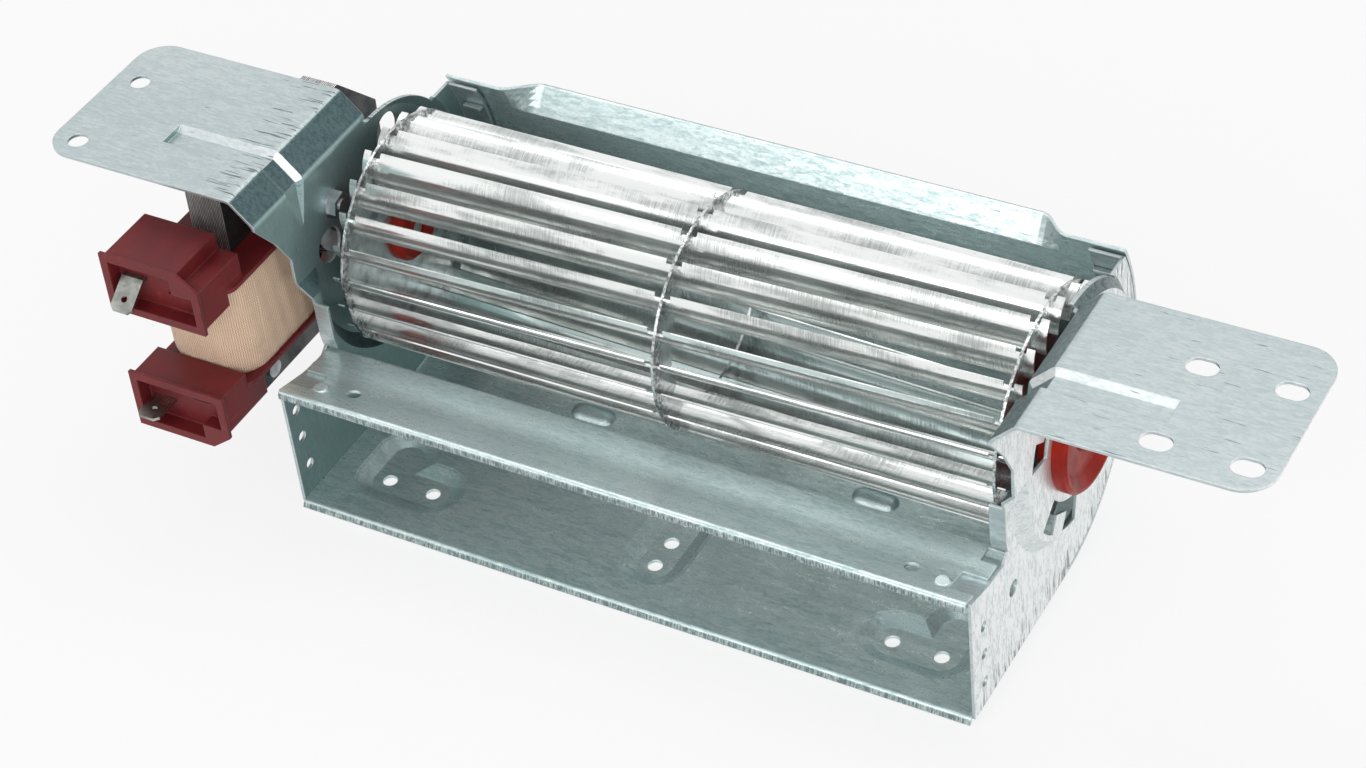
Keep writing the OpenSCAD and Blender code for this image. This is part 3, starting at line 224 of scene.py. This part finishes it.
grain = group("rolled grain", [("Position", VECTOR, None), ("Stretch", VECTOR, None)],
    [("Lines", FLOAT), ("Bands", FLOAT)], grain_nodes)


def edge_nodes(tree, given):
    """Edges where the surface turns within a short radius, broken up by noise: worn edges, and on
    the zinc also a painted highlight along bends and rims.
    """
    rounded = add(tree, "ShaderNodeBevel", {"Radius": given["Radius"]}, samples=4).outputs[0]
    flat = add(tree, "ShaderNodeNewGeometry").outputs["Normal"]
    turn = add(tree, "ShaderNodeVectorMath", {0: rounded, 1: flat},
        operation="DOT_PRODUCT").outputs["Value"]
    mask = between(tree, turn, 0.995, 0.86)
    breaks = between(tree, noise(tree, given["Position"], 700.0, 3.0), 0.3, 0.6)
    share = sums(tree, "MULTIPLY", mask, sums(tree, "MULTIPLY_ADD", breaks, given["Wear"],
        sums(tree, "SUBTRACT", 1.0, given["Wear"])))
    return {"Mask": share, "Normal": rounded}


edges = group("worn edges", [("Position", VECTOR, None), ("Radius", FLOAT, 0.0003),
    ("Wear", FLOAT, 0.5)], [("Mask", FLOAT), ("Normal", VECTOR)], edge_nodes)


def material(name, values):
    """A material with its Principled shader, ready for nodes on its inputs."""
    made = bpy.data.materials.new(name)
    made.use_nodes = True
    tree = made.node_tree
    shader = tree.nodes["Principled BSDF"]
    for key, value in values.items():
        shader.inputs[key].default_value = value
    position = add(tree, "ShaderNodeTexCoord").outputs["Object"]
    return made, tree, shader, position


def bump(tree, shader, height, distance, strength=1.0, normal=None):
    """Relief on a material: a height of 0 to 1 stands for 0 to distance, in metres."""
    inputs = {"Height": height, "Distance": distance, "Strength": strength}
    if normal is not None:
        inputs["Normal"] = normal
    made = add(tree, "ShaderNodeBump", inputs)
    tree.links.new(made.outputs[0], shader.inputs["Normal"])


def rgb(red, green, blue):
    """A colour as it looks on screen, from 0 to 255, as the linear value that a shader takes."""
    c = np.array([red, green, blue]) / 255
    c = np.where(c <= 0.04045, c / 12.92, ((c + 0.055) / 1.055) ** 2.4)
    return (*c, 1.0)


# Materials

# An end plate's rear turn: its centre from the axis along Y and Z, and its radius
PLATE_TURN = (-0.0118, -0.002, 0.0505)
# Heights over which an end plate's strip and its flange begin, and the height of its bottom
STRIP_START, FLANGE_START, PLATE_BOTTOM = (0.076, 0.08), (0.078, 0.082), 0.002
# Distances from the plate's edge over which its press marks fade in
EDGE_MARKS = (0.014, 0.001)
# Places along X over which the left flange's marks fade in towards its bend
BEND_MARKS = (-0.122, -0.104)
# Places along Y over which the outlet's lips begin
LIP_START = (-0.036, -0.038)
# Darkest and lightest zinc of the end plates and of the scroll and cut-off sheets
PLATE_ZINC = rgb(174, 187, 189), rgb(205, 213, 214)
SCROLL_ZINC = rgb(166, 190, 191), rgb(220, 233, 233)
# The range of the spangle's tone that runs from the darkest to the lightest zinc
TONE_RANGE = (0.36, 0.8)


def plate_marks(tree, position, way):
    """Press marks on an end plate: along its lower and rear edges, by the distance to the flat
    bottom or to the rear turn, whichever is less, and beside the bend of its flange, where the
    left plate has more of them than the right one."""
    x, y, z = add(tree, "ShaderNodeSeparateXYZ", {0: position}).outputs
    turn_y, turn_z, reach = PLATE_TURN
    off_y = sums(tree, "MAXIMUM", sums(tree, "ADD", y, -AXIS[1] - turn_y), 0.0)
    off_z = sums(tree, "ADD", z, -AXIS[2] - turn_z)
    away = sums(tree, "SQRT", sums(tree, "MULTIPLY_ADD", off_y, off_y,
        sums(tree, "MULTIPLY", off_z, off_z)))
    edge = sums(tree, "MINIMUM", sums(tree, "SUBTRACT", reach, away),
        sums(tree, "SUBTRACT", z, PLATE_BOTTOM))
    low = sums(tree, "MULTIPLY", between(tree, edge, *EDGE_MARKS), way["Outward"])
    flange = sums(tree, "MULTIPLY", between(tree, z, *FLANGE_START),
        between(tree, sums(tree, "ADD", way["Upright"], way["Slanted"]), 0.6, 0.2))
    beside_bend = sums(tree, "MULTIPLY", between(tree, x, *BEND_MARKS),
        between(tree, x, 0.0, -0.001, 0.25, 0.85))
    mask = sums(tree, "MAXIMUM", low, sums(tree, "MULTIPLY", flange, beside_bend))
    return use(tree, marks, {"Laid": way["Laid"], "Mask": mask})["Marks"]


def plate_painted_light(tree, position, way, tone, colour):
    """Painted light on an end plate: a painted highlight on the outward face, painted shade on the
    inward face and on the slanted strip, and on the bead a painted highlight on the front-facing
    slope and painted shade on the rear-facing one."""
    z = add(tree, "ShaderNodeSeparateXYZ", {0: position}).outputs[2]
    high = between(tree, z, *STRIP_START)
    # Share of painted highlight on the bead's front-facing slope, more where the strip is slanted.
    front_slope_highlight = sums(tree, "MULTIPLY_ADD", way["Slanted"], 0.4, sums(tree, "MULTIPLY", tone, 0.7))
    painted_highlight_outside = sums(tree, "MULTIPLY", way["Outward"], between(tree, tone, 0.42, 0.58, 0.45, 0.92))
    inner = sums(tree, "MULTIPLY", way["Inward"], 0.6)
    painted_shade_strip = sums(tree, "MULTIPLY", way["Slanted"], between(tree, tone, 0.4, 0.6, 1.0, 0.85))
    front = sums(tree, "MULTIPLY", high, sums(tree, "MULTIPLY", way["Front"], front_slope_highlight))
    rear = sums(tree, "MULTIPLY", high, sums(tree, "MULTIPLY", way["Rear"], 0.6))
    # Painted light blended in: highlight on the outward face, shade on the inward face, shade on
    # the slanted strip, highlight on the bead's front-facing slope, shade on its rear-facing
    # slope.
    for share, shade in ((painted_highlight_outside, rgb(246, 249, 249)), (inner, rgb(116, 156, 154)),
            (painted_shade_strip, rgb(66, 88, 92)), (front, rgb(250, 253, 253)), (rear, rgb(104, 124, 127))):
        colour = blend_colour(tree, share, colour, shade)
    return colour


def knurled_lips(tree, position, colour):
    """The lips along the front of the outlet, crossed by short dark knurls."""
    y = add(tree, "ShaderNodeSeparateXYZ", {0: position}).outputs[1]
    normal = add(tree, "ShaderNodeTexCoord").outputs["Normal"]
    facing = add(tree, "ShaderNodeSeparateXYZ", {0: normal}).outputs[1]
    knurl = noise(tree, stretched(tree, position, (2400.0, 500.0, 500.0)), 1.0, 3.0, 0.6)
    lip = sums(tree, "MULTIPLY", between(tree, facing, -0.7, -0.95),
        between(tree, y, *LIP_START))
    share = sums(tree, "MULTIPLY", lip, between(tree, knurl, 0.36, 0.62, 0.3, 0.95))
    return blend_colour(tree, share, colour, rgb(92, 108, 108))


def galvanised(name, end_plate):
    """Zinc on rolled sheet, for the end plates or for the scroll and cut-off sheets."""
    made, tree, shader, position = material(name, {"Metallic": 0.7})
    way = use(tree, lay, {"Position": position}) if end_plate else {"Laid": position}
    zinc = use(tree, spangle, {"Laid": way["Laid"]})
    rolled = use(tree, grain, {"Position": way["Laid"], "Stretch": (22.0, 620.0, 620.0)})
    worn = use(tree, edges, {"Position": position, "Radius": 0.0004, "Wear": 0.4})
    line_share = 0.07 if end_plate else 0.25
    tone = sums(tree, "MULTIPLY_ADD", rolled["Lines"], line_share, zinc["Tone"])
    colour = blend_colour(tree, between(tree, tone, *TONE_RANGE),
        *(PLATE_ZINC if end_plate else SCROLL_ZINC))
    if end_plate:
        # The end plates take painted highlights and painted shade by which way each face looks.
        colour = plate_painted_light(tree, position, way, tone, colour)
        pressed = plate_marks(tree, position, way)
    else:
        colour = knurled_lips(tree, position, colour)
        pressed = use(tree, marks, {"Laid": position, "Mask": -0.1})["Marks"]
    colour = blend_colour(tree, sums(tree, "MULTIPLY", pressed, 0.7), colour, rgb(66, 78, 80))
    # Edges lightened almost to white: partly worn cut edges, partly a painted highlight along the
    # bends and the bead's rims.
    colour = blend_colour(tree, sums(tree, "MULTIPLY", worn["Mask"], 0.6), colour,
        rgb(238, 241, 241))
    tree.links.new(colour, shader.inputs["Base Color"])
    tree.links.new(between(tree, tone, *TONE_RANGE, 0.42, 0.27), shader.inputs["Roughness"])
    height = sums(tree, "MULTIPLY_ADD", zinc["Facet"], 0.5, sums(tree, "MULTIPLY_ADD",
        rolled["Lines"], 0.8, zinc["Grit"]))
    height = sums(tree, "MULTIPLY_ADD", pressed, -1.2, height)
    bump(tree, shader, height, 0.00003, 0.4, worn["Normal"])
    return made


def bright_aluminium():
    """Bright rolled strip: fine hairlines across the blades, strong in some patches and almost
    gone in others."""
    made, tree, shader, position = material("bright aluminium", {"Metallic": 0.86})
    hair = use(tree, grain, {"Position": position, "Stretch": (3400.0, 160.0, 160.0)})
    patch = between(tree, noise(tree, stretched(tree, position, (40.0, 160.0, 160.0)), 1.0, 4.0,
        0.6), 0.38, 0.66)
    lines = sums(tree, "MULTIPLY", hair["Lines"], sums(tree, "MULTIPLY_ADD", patch, 0.8, 0.2))
    along = noise(tree, stretched(tree, position, (12.0, 420.0, 420.0)), 1.0, 3.0, 0.5)
    tone = sums(tree, "MULTIPLY_ADD", lines, -0.8, sums(tree, "MULTIPLY_ADD", along, 0.3, 0.6))
    colour = blend_colour(tree, between(tree, tone, 0.25, 0.68), rgb(172, 177, 175),
        rgb(242, 245, 243))
    tree.links.new(colour, shader.inputs["Base Color"])
    tree.links.new(between(tree, tone, 0.25, 0.68, 0.3, 0.13), shader.inputs["Roughness"])
    bump(tree, shader, lines, 0.00003, 0.6)
    return made


# Distances from the axis over which the crimped rim of a disc begins
RIM_START = (0.0262, 0.0282)


def crimped_rim():
    """Thin aluminium discs whose rims were struck over the blades: short dark and bright patches
    along the rim, painted shade and painted glints of the crimps over a real bump of the same
    pattern, and plain sheet inside it."""
    made, tree, shader, position = material("crimped rim", {"Metallic": 1.0})
    away = add(tree, "ShaderNodeVectorMath", {0: position, 1: AXIS}, operation="SUBTRACT")
    turned = add(tree, "ShaderNodeVectorMath", {0: away.outputs[0], 1: (0.0, 1.0, 1.0)},
        operation="MULTIPLY")
    radius = add(tree, "ShaderNodeVectorMath", {0: turned.outputs[0]},
        operation="LENGTH").outputs["Value"]
    rim = between(tree, radius, *RIM_START)
    # Dark and bright patches on the rim are painted shade and painted glints of the crimps; the
    # same pattern also sets a real bump and the roughness.
    crimp_relief_and_painted_light = add(tree, "ShaderNodeMix", {0: rim, 2: 0.56,
        3: noise(tree, position, 900.0, 3.0, 0.7)}).outputs[0]
    wide = noise(tree, position, 240.0, 2.0)
    tone = sums(tree, "MULTIPLY_ADD", crimp_relief_and_painted_light, 0.7, sums(tree, "MULTIPLY", wide, 0.3))
    colour = blend_colour(tree, between(tree, tone, 0.4, 0.6), rgb(126, 129, 130),
        rgb(222, 224, 224))
    tree.links.new(colour, shader.inputs["Base Color"])
    tree.links.new(between(tree, crimp_relief_and_painted_light, 0.3, 0.7, 0.38, 0.2), shader.inputs["Roughness"])
    bump(tree, shader, crimp_relief_and_painted_light, 0.00016, 0.9)
    return made


def silicone():
    """Soft red silicone, a little mottled, with a faint skin."""
    made, tree, shader, position = material("red silicone", {"Coat Weight": 0.05,
        "Coat Roughness": 0.25, "Specular IOR Level": 0.16})
    mottle = noise(tree, position, 120.0, 3.0)
    colour = blend_colour(tree, between(tree, mottle, 0.3, 0.7), rgb(134, 20, 8),
        rgb(162, 32, 12))
    tree.links.new(colour, shader.inputs["Base Color"])
    tree.links.new(between(tree, noise(tree, position, 300.0), 0.3, 0.7, 0.32, 0.45),
        shader.inputs["Roughness"])
    bump(tree, shader, noise(tree, position, 1500.0), 0.00003, 0.25)
    return made


def maroon_plastic():
    """Moulded plastic with dusty scuffs and paler, worn edges."""
    made, tree, shader, position = material("maroon plastic", {"Specular IOR Level": 0.35})
    worn = use(tree, edges, {"Position": position, "Radius": 0.0006, "Wear": 0.75})
    mottle = noise(tree, position, 70.0, 5.0, 0.65)
    scuff = use(tree, grain, {"Position": position, "Stretch": (500.0, 90.0, 700.0)})
    dust = sums(tree, "MULTIPLY", between(tree, scuff["Lines"], 0.56, 0.75),
        between(tree, mottle, 0.42, 0.65))
    colour = blend_colour(tree, between(tree, mottle, 0.3, 0.7), rgb(98, 25, 29),
        rgb(118, 33, 36))
    colour = blend_colour(tree, sums(tree, "MULTIPLY", dust, 0.3), colour, rgb(150, 98, 98))
    colour = blend_colour(tree, sums(tree, "MULTIPLY", worn["Mask"], 0.45), colour,
        rgb(158, 88, 88))
    tree.links.new(colour, shader.inputs["Base Color"])
    tree.links.new(between(tree, mottle, 0.3, 0.7, 0.42, 0.56), shader.inputs["Roughness"])
    bump(tree, shader, noise(tree, position, 1800.0), 0.00004, 0.3, worn["Normal"])
    return made


SHEET_PITCH = 0.0005


def laminated_steel():
    """Dark oxide on the flat faces, and one bright line for each sheet on the cut edges."""
    made, tree, shader, position = material("stacked laminations", {"Metallic": 0.85})
    x = add(tree, "ShaderNodeSeparateXYZ", {0: position}).outputs[0]
    normal = add(tree, "ShaderNodeTexCoord").outputs["Normal"]
    facing = add(tree, "ShaderNodeSeparateXYZ", {0: normal}).outputs[0]
    cut = between(tree, sums(tree, "ABSOLUTE", facing), 0.6, 0.3)
    sheet = sums(tree, "PINGPONG", x, SHEET_PITCH / 2)
    line = sums(tree, "MULTIPLY", between(tree, sheet, 0.00006, 0.00014), cut)
    rust = noise(tree, position, 160.0, 4.0)
    burr = noise(tree, stretched(tree, position, (3000.0, 300.0, 300.0)), 1.0, 2.0)
    plain = blend_colour(tree, between(tree, rust, 0.35, 0.7), rgb(58, 62, 64), rgb(92, 94, 92))
    bright = blend_colour(tree, between(tree, burr, 0.35, 0.7), rgb(178, 180, 180),
        rgb(240, 240, 236))
    colour = blend_colour(tree, line, plain, bright)
    tree.links.new(colour, shader.inputs["Base Color"])
    tree.links.new(between(tree, rust, 0.3, 0.7, 0.5, 0.36), shader.inputs["Roughness"])
    bump(tree, shader, line, 0.00012, 0.7)
    return made


def plain_metal(name, dark, light, low, high, scale=150.0):
    """A metal with soft clouds between two colours and between two values of roughness."""
    made, tree, shader, position = material(name, {"Metallic": 1.0})
    cloud = noise(tree, position, scale, 4.0, 0.6)
    colour = blend_colour(tree, between(tree, cloud, 0.3, 0.7), dark, light)
    tree.links.new(colour, shader.inputs["Base Color"])
    tree.links.new(between(tree, cloud, 0.3, 0.7, high, low), shader.inputs["Roughness"])
    bump(tree, shader, noise(tree, position, scale * 12), 0.00003, 0.25)
    return made


def turned_steel():
    """Shaft steel with fine lines round it from the lathe."""
    made, tree, shader, position = material("turned steel", {"Metallic": 1.0})
    rings = use(tree, grain, {"Position": position, "Stretch": (2500.0, 60.0, 60.0)})
    colour = blend_colour(tree, rings["Lines"], rgb(140, 142, 144), rgb(206, 207, 208))
    tree.links.new(colour, shader.inputs["Base Color"])
    tree.links.new(between(tree, rings["Bands"], 0.3, 0.7, 0.34, 0.22),
        shader.inputs["Roughness"])
    bump(tree, shader, rings["Lines"], 0.00002, 0.3)
    return made


def black_rubber():
    """Dull black rubber with a pale bloom."""
    made, tree, shader, position = material("black rubber", {"Specular IOR Level": 0.4})
    bloom = noise(tree, position, 200.0, 4.0)
    colour = blend_colour(tree, between(tree, bloom, 0.4, 0.7), rgb(30, 30, 31), rgb(52, 52, 52))
    tree.links.new(colour, shader.inputs["Base Color"])
    tree.links.new(between(tree, bloom, 0.3, 0.7, 0.5, 0.7), shader.inputs["Roughness"])
    return made


# Half the pitch of the tape's ribs and of its threads, and the height of its zigzag
RIB_HALF, THREAD_HALF, ZIGZAG_HIGH = 0.0003, 0.00022, 0.00045


def woven_tape():
    """Glass tape: raised ribs across the winding, crossed by a finer zigzag of threads."""
    made, tree, shader, position = material("woven tape", {"Roughness": 0.85,
        "Sheen Weight": 0.25, "Sheen Roughness": 0.5, "Specular IOR Level": 0.25})
    flat = add(tree, "ShaderNodeSeparateXYZ",
        {0: add(tree, "ShaderNodeTexCoord").outputs["UV"]})
    along, up = flat.outputs[0], flat.outputs[1]
    zigzag = sums(tree, "PINGPONG", up, ZIGZAG_HIGH)
    leaned = sums(tree, "MULTIPLY_ADD", zigzag, 0.55, along)
    rib = between(tree, sums(tree, "PINGPONG", leaned, RIB_HALF), 0.00003, 0.00024)
    thread = between(tree, sums(tree, "PINGPONG", up, THREAD_HALF), 0.0, 0.0002)
    weave = sums(tree, "MULTIPLY_ADD", thread, 0.3, sums(tree, "MULTIPLY", rib, 0.7))
    cloud = noise(tree, position, 110.0, 4.0, 0.6)
    low = blend_colour(tree, between(tree, cloud, 0.35, 0.65), rgb(196, 152, 120),
        rgb(214, 174, 142))
    colour = blend_colour(tree, between(tree, weave, 0.15, 0.8), low, rgb(240, 214, 188))
    stain = sums(tree, "MULTIPLY", between(tree, noise(tree, position, 60.0, 5.0, 0.7), 0.5, 0.75),
        0.4)
    colour = blend_colour(tree, stain, colour, rgb(150, 122, 108))
    tree.links.new(colour, shader.inputs["Base Color"])
    bump(tree, shader, weave, 0.00018, 0.8)
    return made


def dress(made, slot, *names):
    """Gives a finish to CAD nodes, or to new pieces. The slot is not used."""
    for name in names:
        piece = nodes.get(name) or bpy.data.objects[name]
        piece.data.materials.clear()
        piece.data.materials.append(made)


# The wound coil, under its tape

TAPE_CORNER, TAPE_WALL = 0.009, 0.0005
# How far the tape swells at mid height, sinks at its rims, and stands up in wide and in narrow
# lumps
TAPE_SWELL, TAPE_SINK, WIDE_LUMP, NARROW_LUMP = 0.0004, 0.0003, 0.00012, 0.0001
SIDE_STEPS, CORNER_STEPS, HEIGHT_STEPS = 40, 24, 24


def wound_tape():
    """The taped coil: a rounded rectangle in plan, carried up the coil. The wall swells by the
    fourth power of the height from the middle, sinks by the square over the last seventh before
    each rim, and is lumpy where turns of wire lie under it: 9 wide and 23 narrow waves round the
    coil, which lean with the height. Its inner side is the same outline, one wall further in."""
    low, high = (np.array(c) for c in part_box("coil_tape"))
    middle = (low + high) / 2
    half = (high - low) / 2
    side = np.linspace(0, 1, SIDE_STEPS + 1)[:-1]
    quarter = np.linspace(0, np.pi / 2, CORNER_STEPS + 1)[:-1]
    flat = half[:2] - TAPE_CORNER
    parts, turned = [], []
    starts = [(flat[0], -flat[1]), (flat[0], flat[1]), (-flat[0], flat[1]), (-flat[0], -flat[1])]
    for k in range(4):
        here, there = np.array(starts[k]), np.array(starts[(k + 1) % 4])
        angle = k * np.pi / 2
        normal = np.array([np.cos(angle), np.sin(angle)])
        parts.append(here + (there - here) * side[:, None])
        turned.append(np.repeat(normal[None], len(side), 0))
        parts.append(np.repeat(there[None], len(quarter), 0))
        turned.append(np.stack([np.cos(angle + quarter), np.sin(angle + quarter)], 1))
    spine, normals = np.concatenate(parts), np.concatenate(turned)
    outline = spine + TAPE_CORNER * normals
    steps = np.linalg.norm(np.roll(outline, -1, 0) - outline, axis=1)
    along = np.concatenate([[0], np.cumsum(steps)])
    up = np.linspace(-1, 1, HEIGHT_STEPS + 1)
    swell = TAPE_SWELL * (1 - up ** 4) - TAPE_SWELL / 2
    rim = TAPE_SINK * np.clip((np.abs(up) - 0.86) / 0.14, 0, 1) ** 2
    u = along[:-1, None] / along[-1]
    lumps = (WIDE_LUMP * np.sin(2 * np.pi * (9 * u + 0.6 * up)) * np.cos(3.1 * up)
        + NARROW_LUMP * np.sin(2 * np.pi * 23 * u + 2.0 * up))
    outer = TAPE_CORNER + swell - rim + lumps
    inner = np.full_like(outer, TAPE_CORNER - TAPE_WALL)
    reach = np.concatenate([outer, inner[:, ::-1]], axis=1)
    height = np.concatenate([up, up[::-1]]) * half[2]
    flat_points = spine[:, None] + reach[..., None] * normals[:, None]
    points = np.concatenate([flat_points, np.broadcast_to(height[None, :, None],
        reach.shape + (1,))], axis=-1) + middle
    rise = np.concatenate([height, height[:1]])
    uv = np.stack(np.broadcast_arrays(along[:, None], rise[None]), axis=-1)
    piece = surface("wound_tape", points, wrap_u=True, wrap_v=True, uv=uv)
    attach(piece, "housing")
    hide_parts("coil_tape")
    return piece


wound_tape()

dress(galvanised("galvanised end plate", True), "galvanised_sheet", "motor_side_plate",
    "bearing_side_plate")
dress(galvanised("galvanised sheet", False), "galvanised_sheet", "scroll_sheet",
    "cutoff_sheet")
dress(bright_aluminium(), "wheel_aluminium", "impeller_blades")
dress(crimped_rim(), "wheel_aluminium", "motor_end_disc", "middle_ring", "bearing_end_disc")
dress(plain_metal("cast cage aluminium", rgb(130, 132, 134), rgb(176, 178, 180), 0.4, 0.55),
    "wheel_aluminium", "rotor_cage")
dress(silicone(), "red_silicone", "coupling_hub", "bearing_cup")
dress(turned_steel(), "shaft_steel", "stub_shaft", "motor_shaft")
dress(plain_metal("sintered bronze", rgb(112, 86, 48), rgb(150, 120, 72), 0.4, 0.55),
    "sintered_bronze", "end_bearing_bush", "motor_bushes")
dress(laminated_steel(), "lamination_steel", "stator_laminations", "coil_leg_laminations",
    "rotor_core")
dress(plain_metal("enamelled copper", rgb(72, 38, 26), rgb(100, 56, 38), 0.28, 0.4),
    "copper", "shading_rings", "coil_winding")
dress(plain_metal("cast zinc", rgb(112, 114, 116), rgb(150, 152, 154), 0.4, 0.58),
    "cast_zinc", "front_bearing_bracket", "rear_bearing_bracket")
dress(maroon_plastic(), "maroon_plastic", "coil_bobbin")
dress(woven_tape(), "woven_tape", "wound_tape")
dress(plain_metal("tinned brass", rgb(136, 138, 134), rgb(186, 187, 180), 0.25, 0.42, 260.0),
    "tinned_brass", "terminal_tabs")
dress(plain_metal("zinc screws", rgb(150, 154, 158), rgb(204, 208, 210), 0.28, 0.42),
    "zinc_screws", "motor_screws", "motor_nuts", "lock_washers", "stack_rivets")
dress(black_rubber(), "black_rubber", "motor_spacers")


# Floor, light and camera

def seen_directly(tree):
    """One for rays from the camera, from a reflection or through glass, and zero for others."""
    path = add(tree, "ShaderNodeLightPath").outputs
    return sums(tree, "MAXIMUM", path["Is Camera Ray"],
        sums(tree, "MAXIMUM", path["Is Glossy Ray"], path["Is Transmission Ray"]))


def shown_white(name, shade, glow):
    """A matte surface that keeps shadows. For the camera and in reflections a share of it,
    glow, is plain white."""
    made = bpy.data.materials.new(name)
    made.use_nodes = True
    tree = made.node_tree
    tree.nodes.remove(tree.nodes["Principled BSDF"])
    matte = add(tree, "ShaderNodeBsdfDiffuse", {"Color": (shade, shade, shade, 1)})
    white = add(tree, "ShaderNodeEmission", {"Color": (1, 1, 1, 1), "Strength": 1.0})
    share = sums(tree, "MULTIPLY", seen_directly(tree), glow)
    both = add(tree, "ShaderNodeMixShader", {0: share, 1: matte.outputs[0],
        2: white.outputs[0]})
    tree.links.new(both.outputs[0], tree.nodes["Material Output"].inputs[0])
    return made


FLOOR_HALF, FLOOR_DROP = 3.0, -0.0002

floor = surface("floor", np.array([[[x, y, FLOOR_DROP] for y in (-FLOOR_HALF, FLOOR_HALF)]
    for x in (-FLOOR_HALF, FLOOR_HALF)]))
floor.data.flip_normals()
floor.data.materials.append(shown_white("pale floor", 0.88, 0.8))


def softbox(name, place, aim, size, watts):
    """A flat rectangular lamp at a place, turned to face the point that it is aimed at."""
    lamp = bpy.data.lights.new(name, "AREA")
    lamp.shape = "RECTANGLE"
    lamp.size, lamp.size_y = size
    lamp.energy = watts
    box = bpy.data.objects.new(name, lamp)
    back = (Vector(place) - Vector(aim)).normalized()
    turn = back.to_track_quat("Z", "Y").to_matrix().to_4x4()
    box.matrix_world = Matrix.Translation(place) @ turn
    bpy.context.scene.collection.objects.link(box)


softbox("top light", (-0.25, 0.45, 1.3), (0, 0, 0.04), (1.4, 0.4), 3.5)
softbox("right light", (1.2, -0.3, 0.22), (0.1, 0, 0.05), (0.5, 0.3), 1.0)
softbox("front light", (0.25, -1.15, 0.8), (0, 0, 0.03), (1.9, 0.7), 8.0)

world = bpy.data.worlds.new("studio")
bpy.context.scene.world = world
world.use_nodes = True
tree = world.node_tree
tree.links.new(between(tree, seen_directly(tree), 0.0, 1.0, 0.6, 1.0),
    tree.nodes["Background"].inputs[1])
tree.nodes["Background"].inputs[0].default_value = (1, 1, 1, 1)

# The photograph's camera, solved from the flanges, the wheel's rings and the outlet's edges:
# its place, the turns in degrees, and the focal length and sensor in millimetres
CAMERA_PLACE = (0.32072, -0.50246, 0.55290)
AZIMUTH, ELEVATION, ROLL = np.radians([32.677, 40.693, -6.345])
FOCAL_LENGTH, SENSOR_WIDTH = 86.43, 36.0

camera = bpy.data.cameras.new("camera")
camera.lens, camera.sensor_width = FOCAL_LENGTH, SENSOR_WIDTH
camera.clip_start, camera.clip_end = 0.01, 20.0
viewer = bpy.data.objects.new("camera", camera)
back = np.array([np.sin(AZIMUTH) * np.cos(ELEVATION), -np.cos(AZIMUTH) * np.cos(ELEVATION),
    np.sin(ELEVATION)])
level = np.array([np.cos(AZIMUTH), np.sin(AZIMUTH), 0.0])
upward = np.cross(back, level)
right = np.cos(ROLL) * level + np.sin(ROLL) * upward
turned_up = np.cos(ROLL) * upward - np.sin(ROLL) * level
pose = Matrix.Identity(4)
for row in range(3):
    pose[row][0], pose[row][1], pose[row][2] = right[row], turned_up[row], back[row]
    pose[row][3] = CAMERA_PLACE[row]
viewer.matrix_world = pose
bpy.context.scene.collection.objects.link(viewer)
bpy.context.scene.camera = viewer

bpy.context.scene.view_settings.view_transform = "Standard"
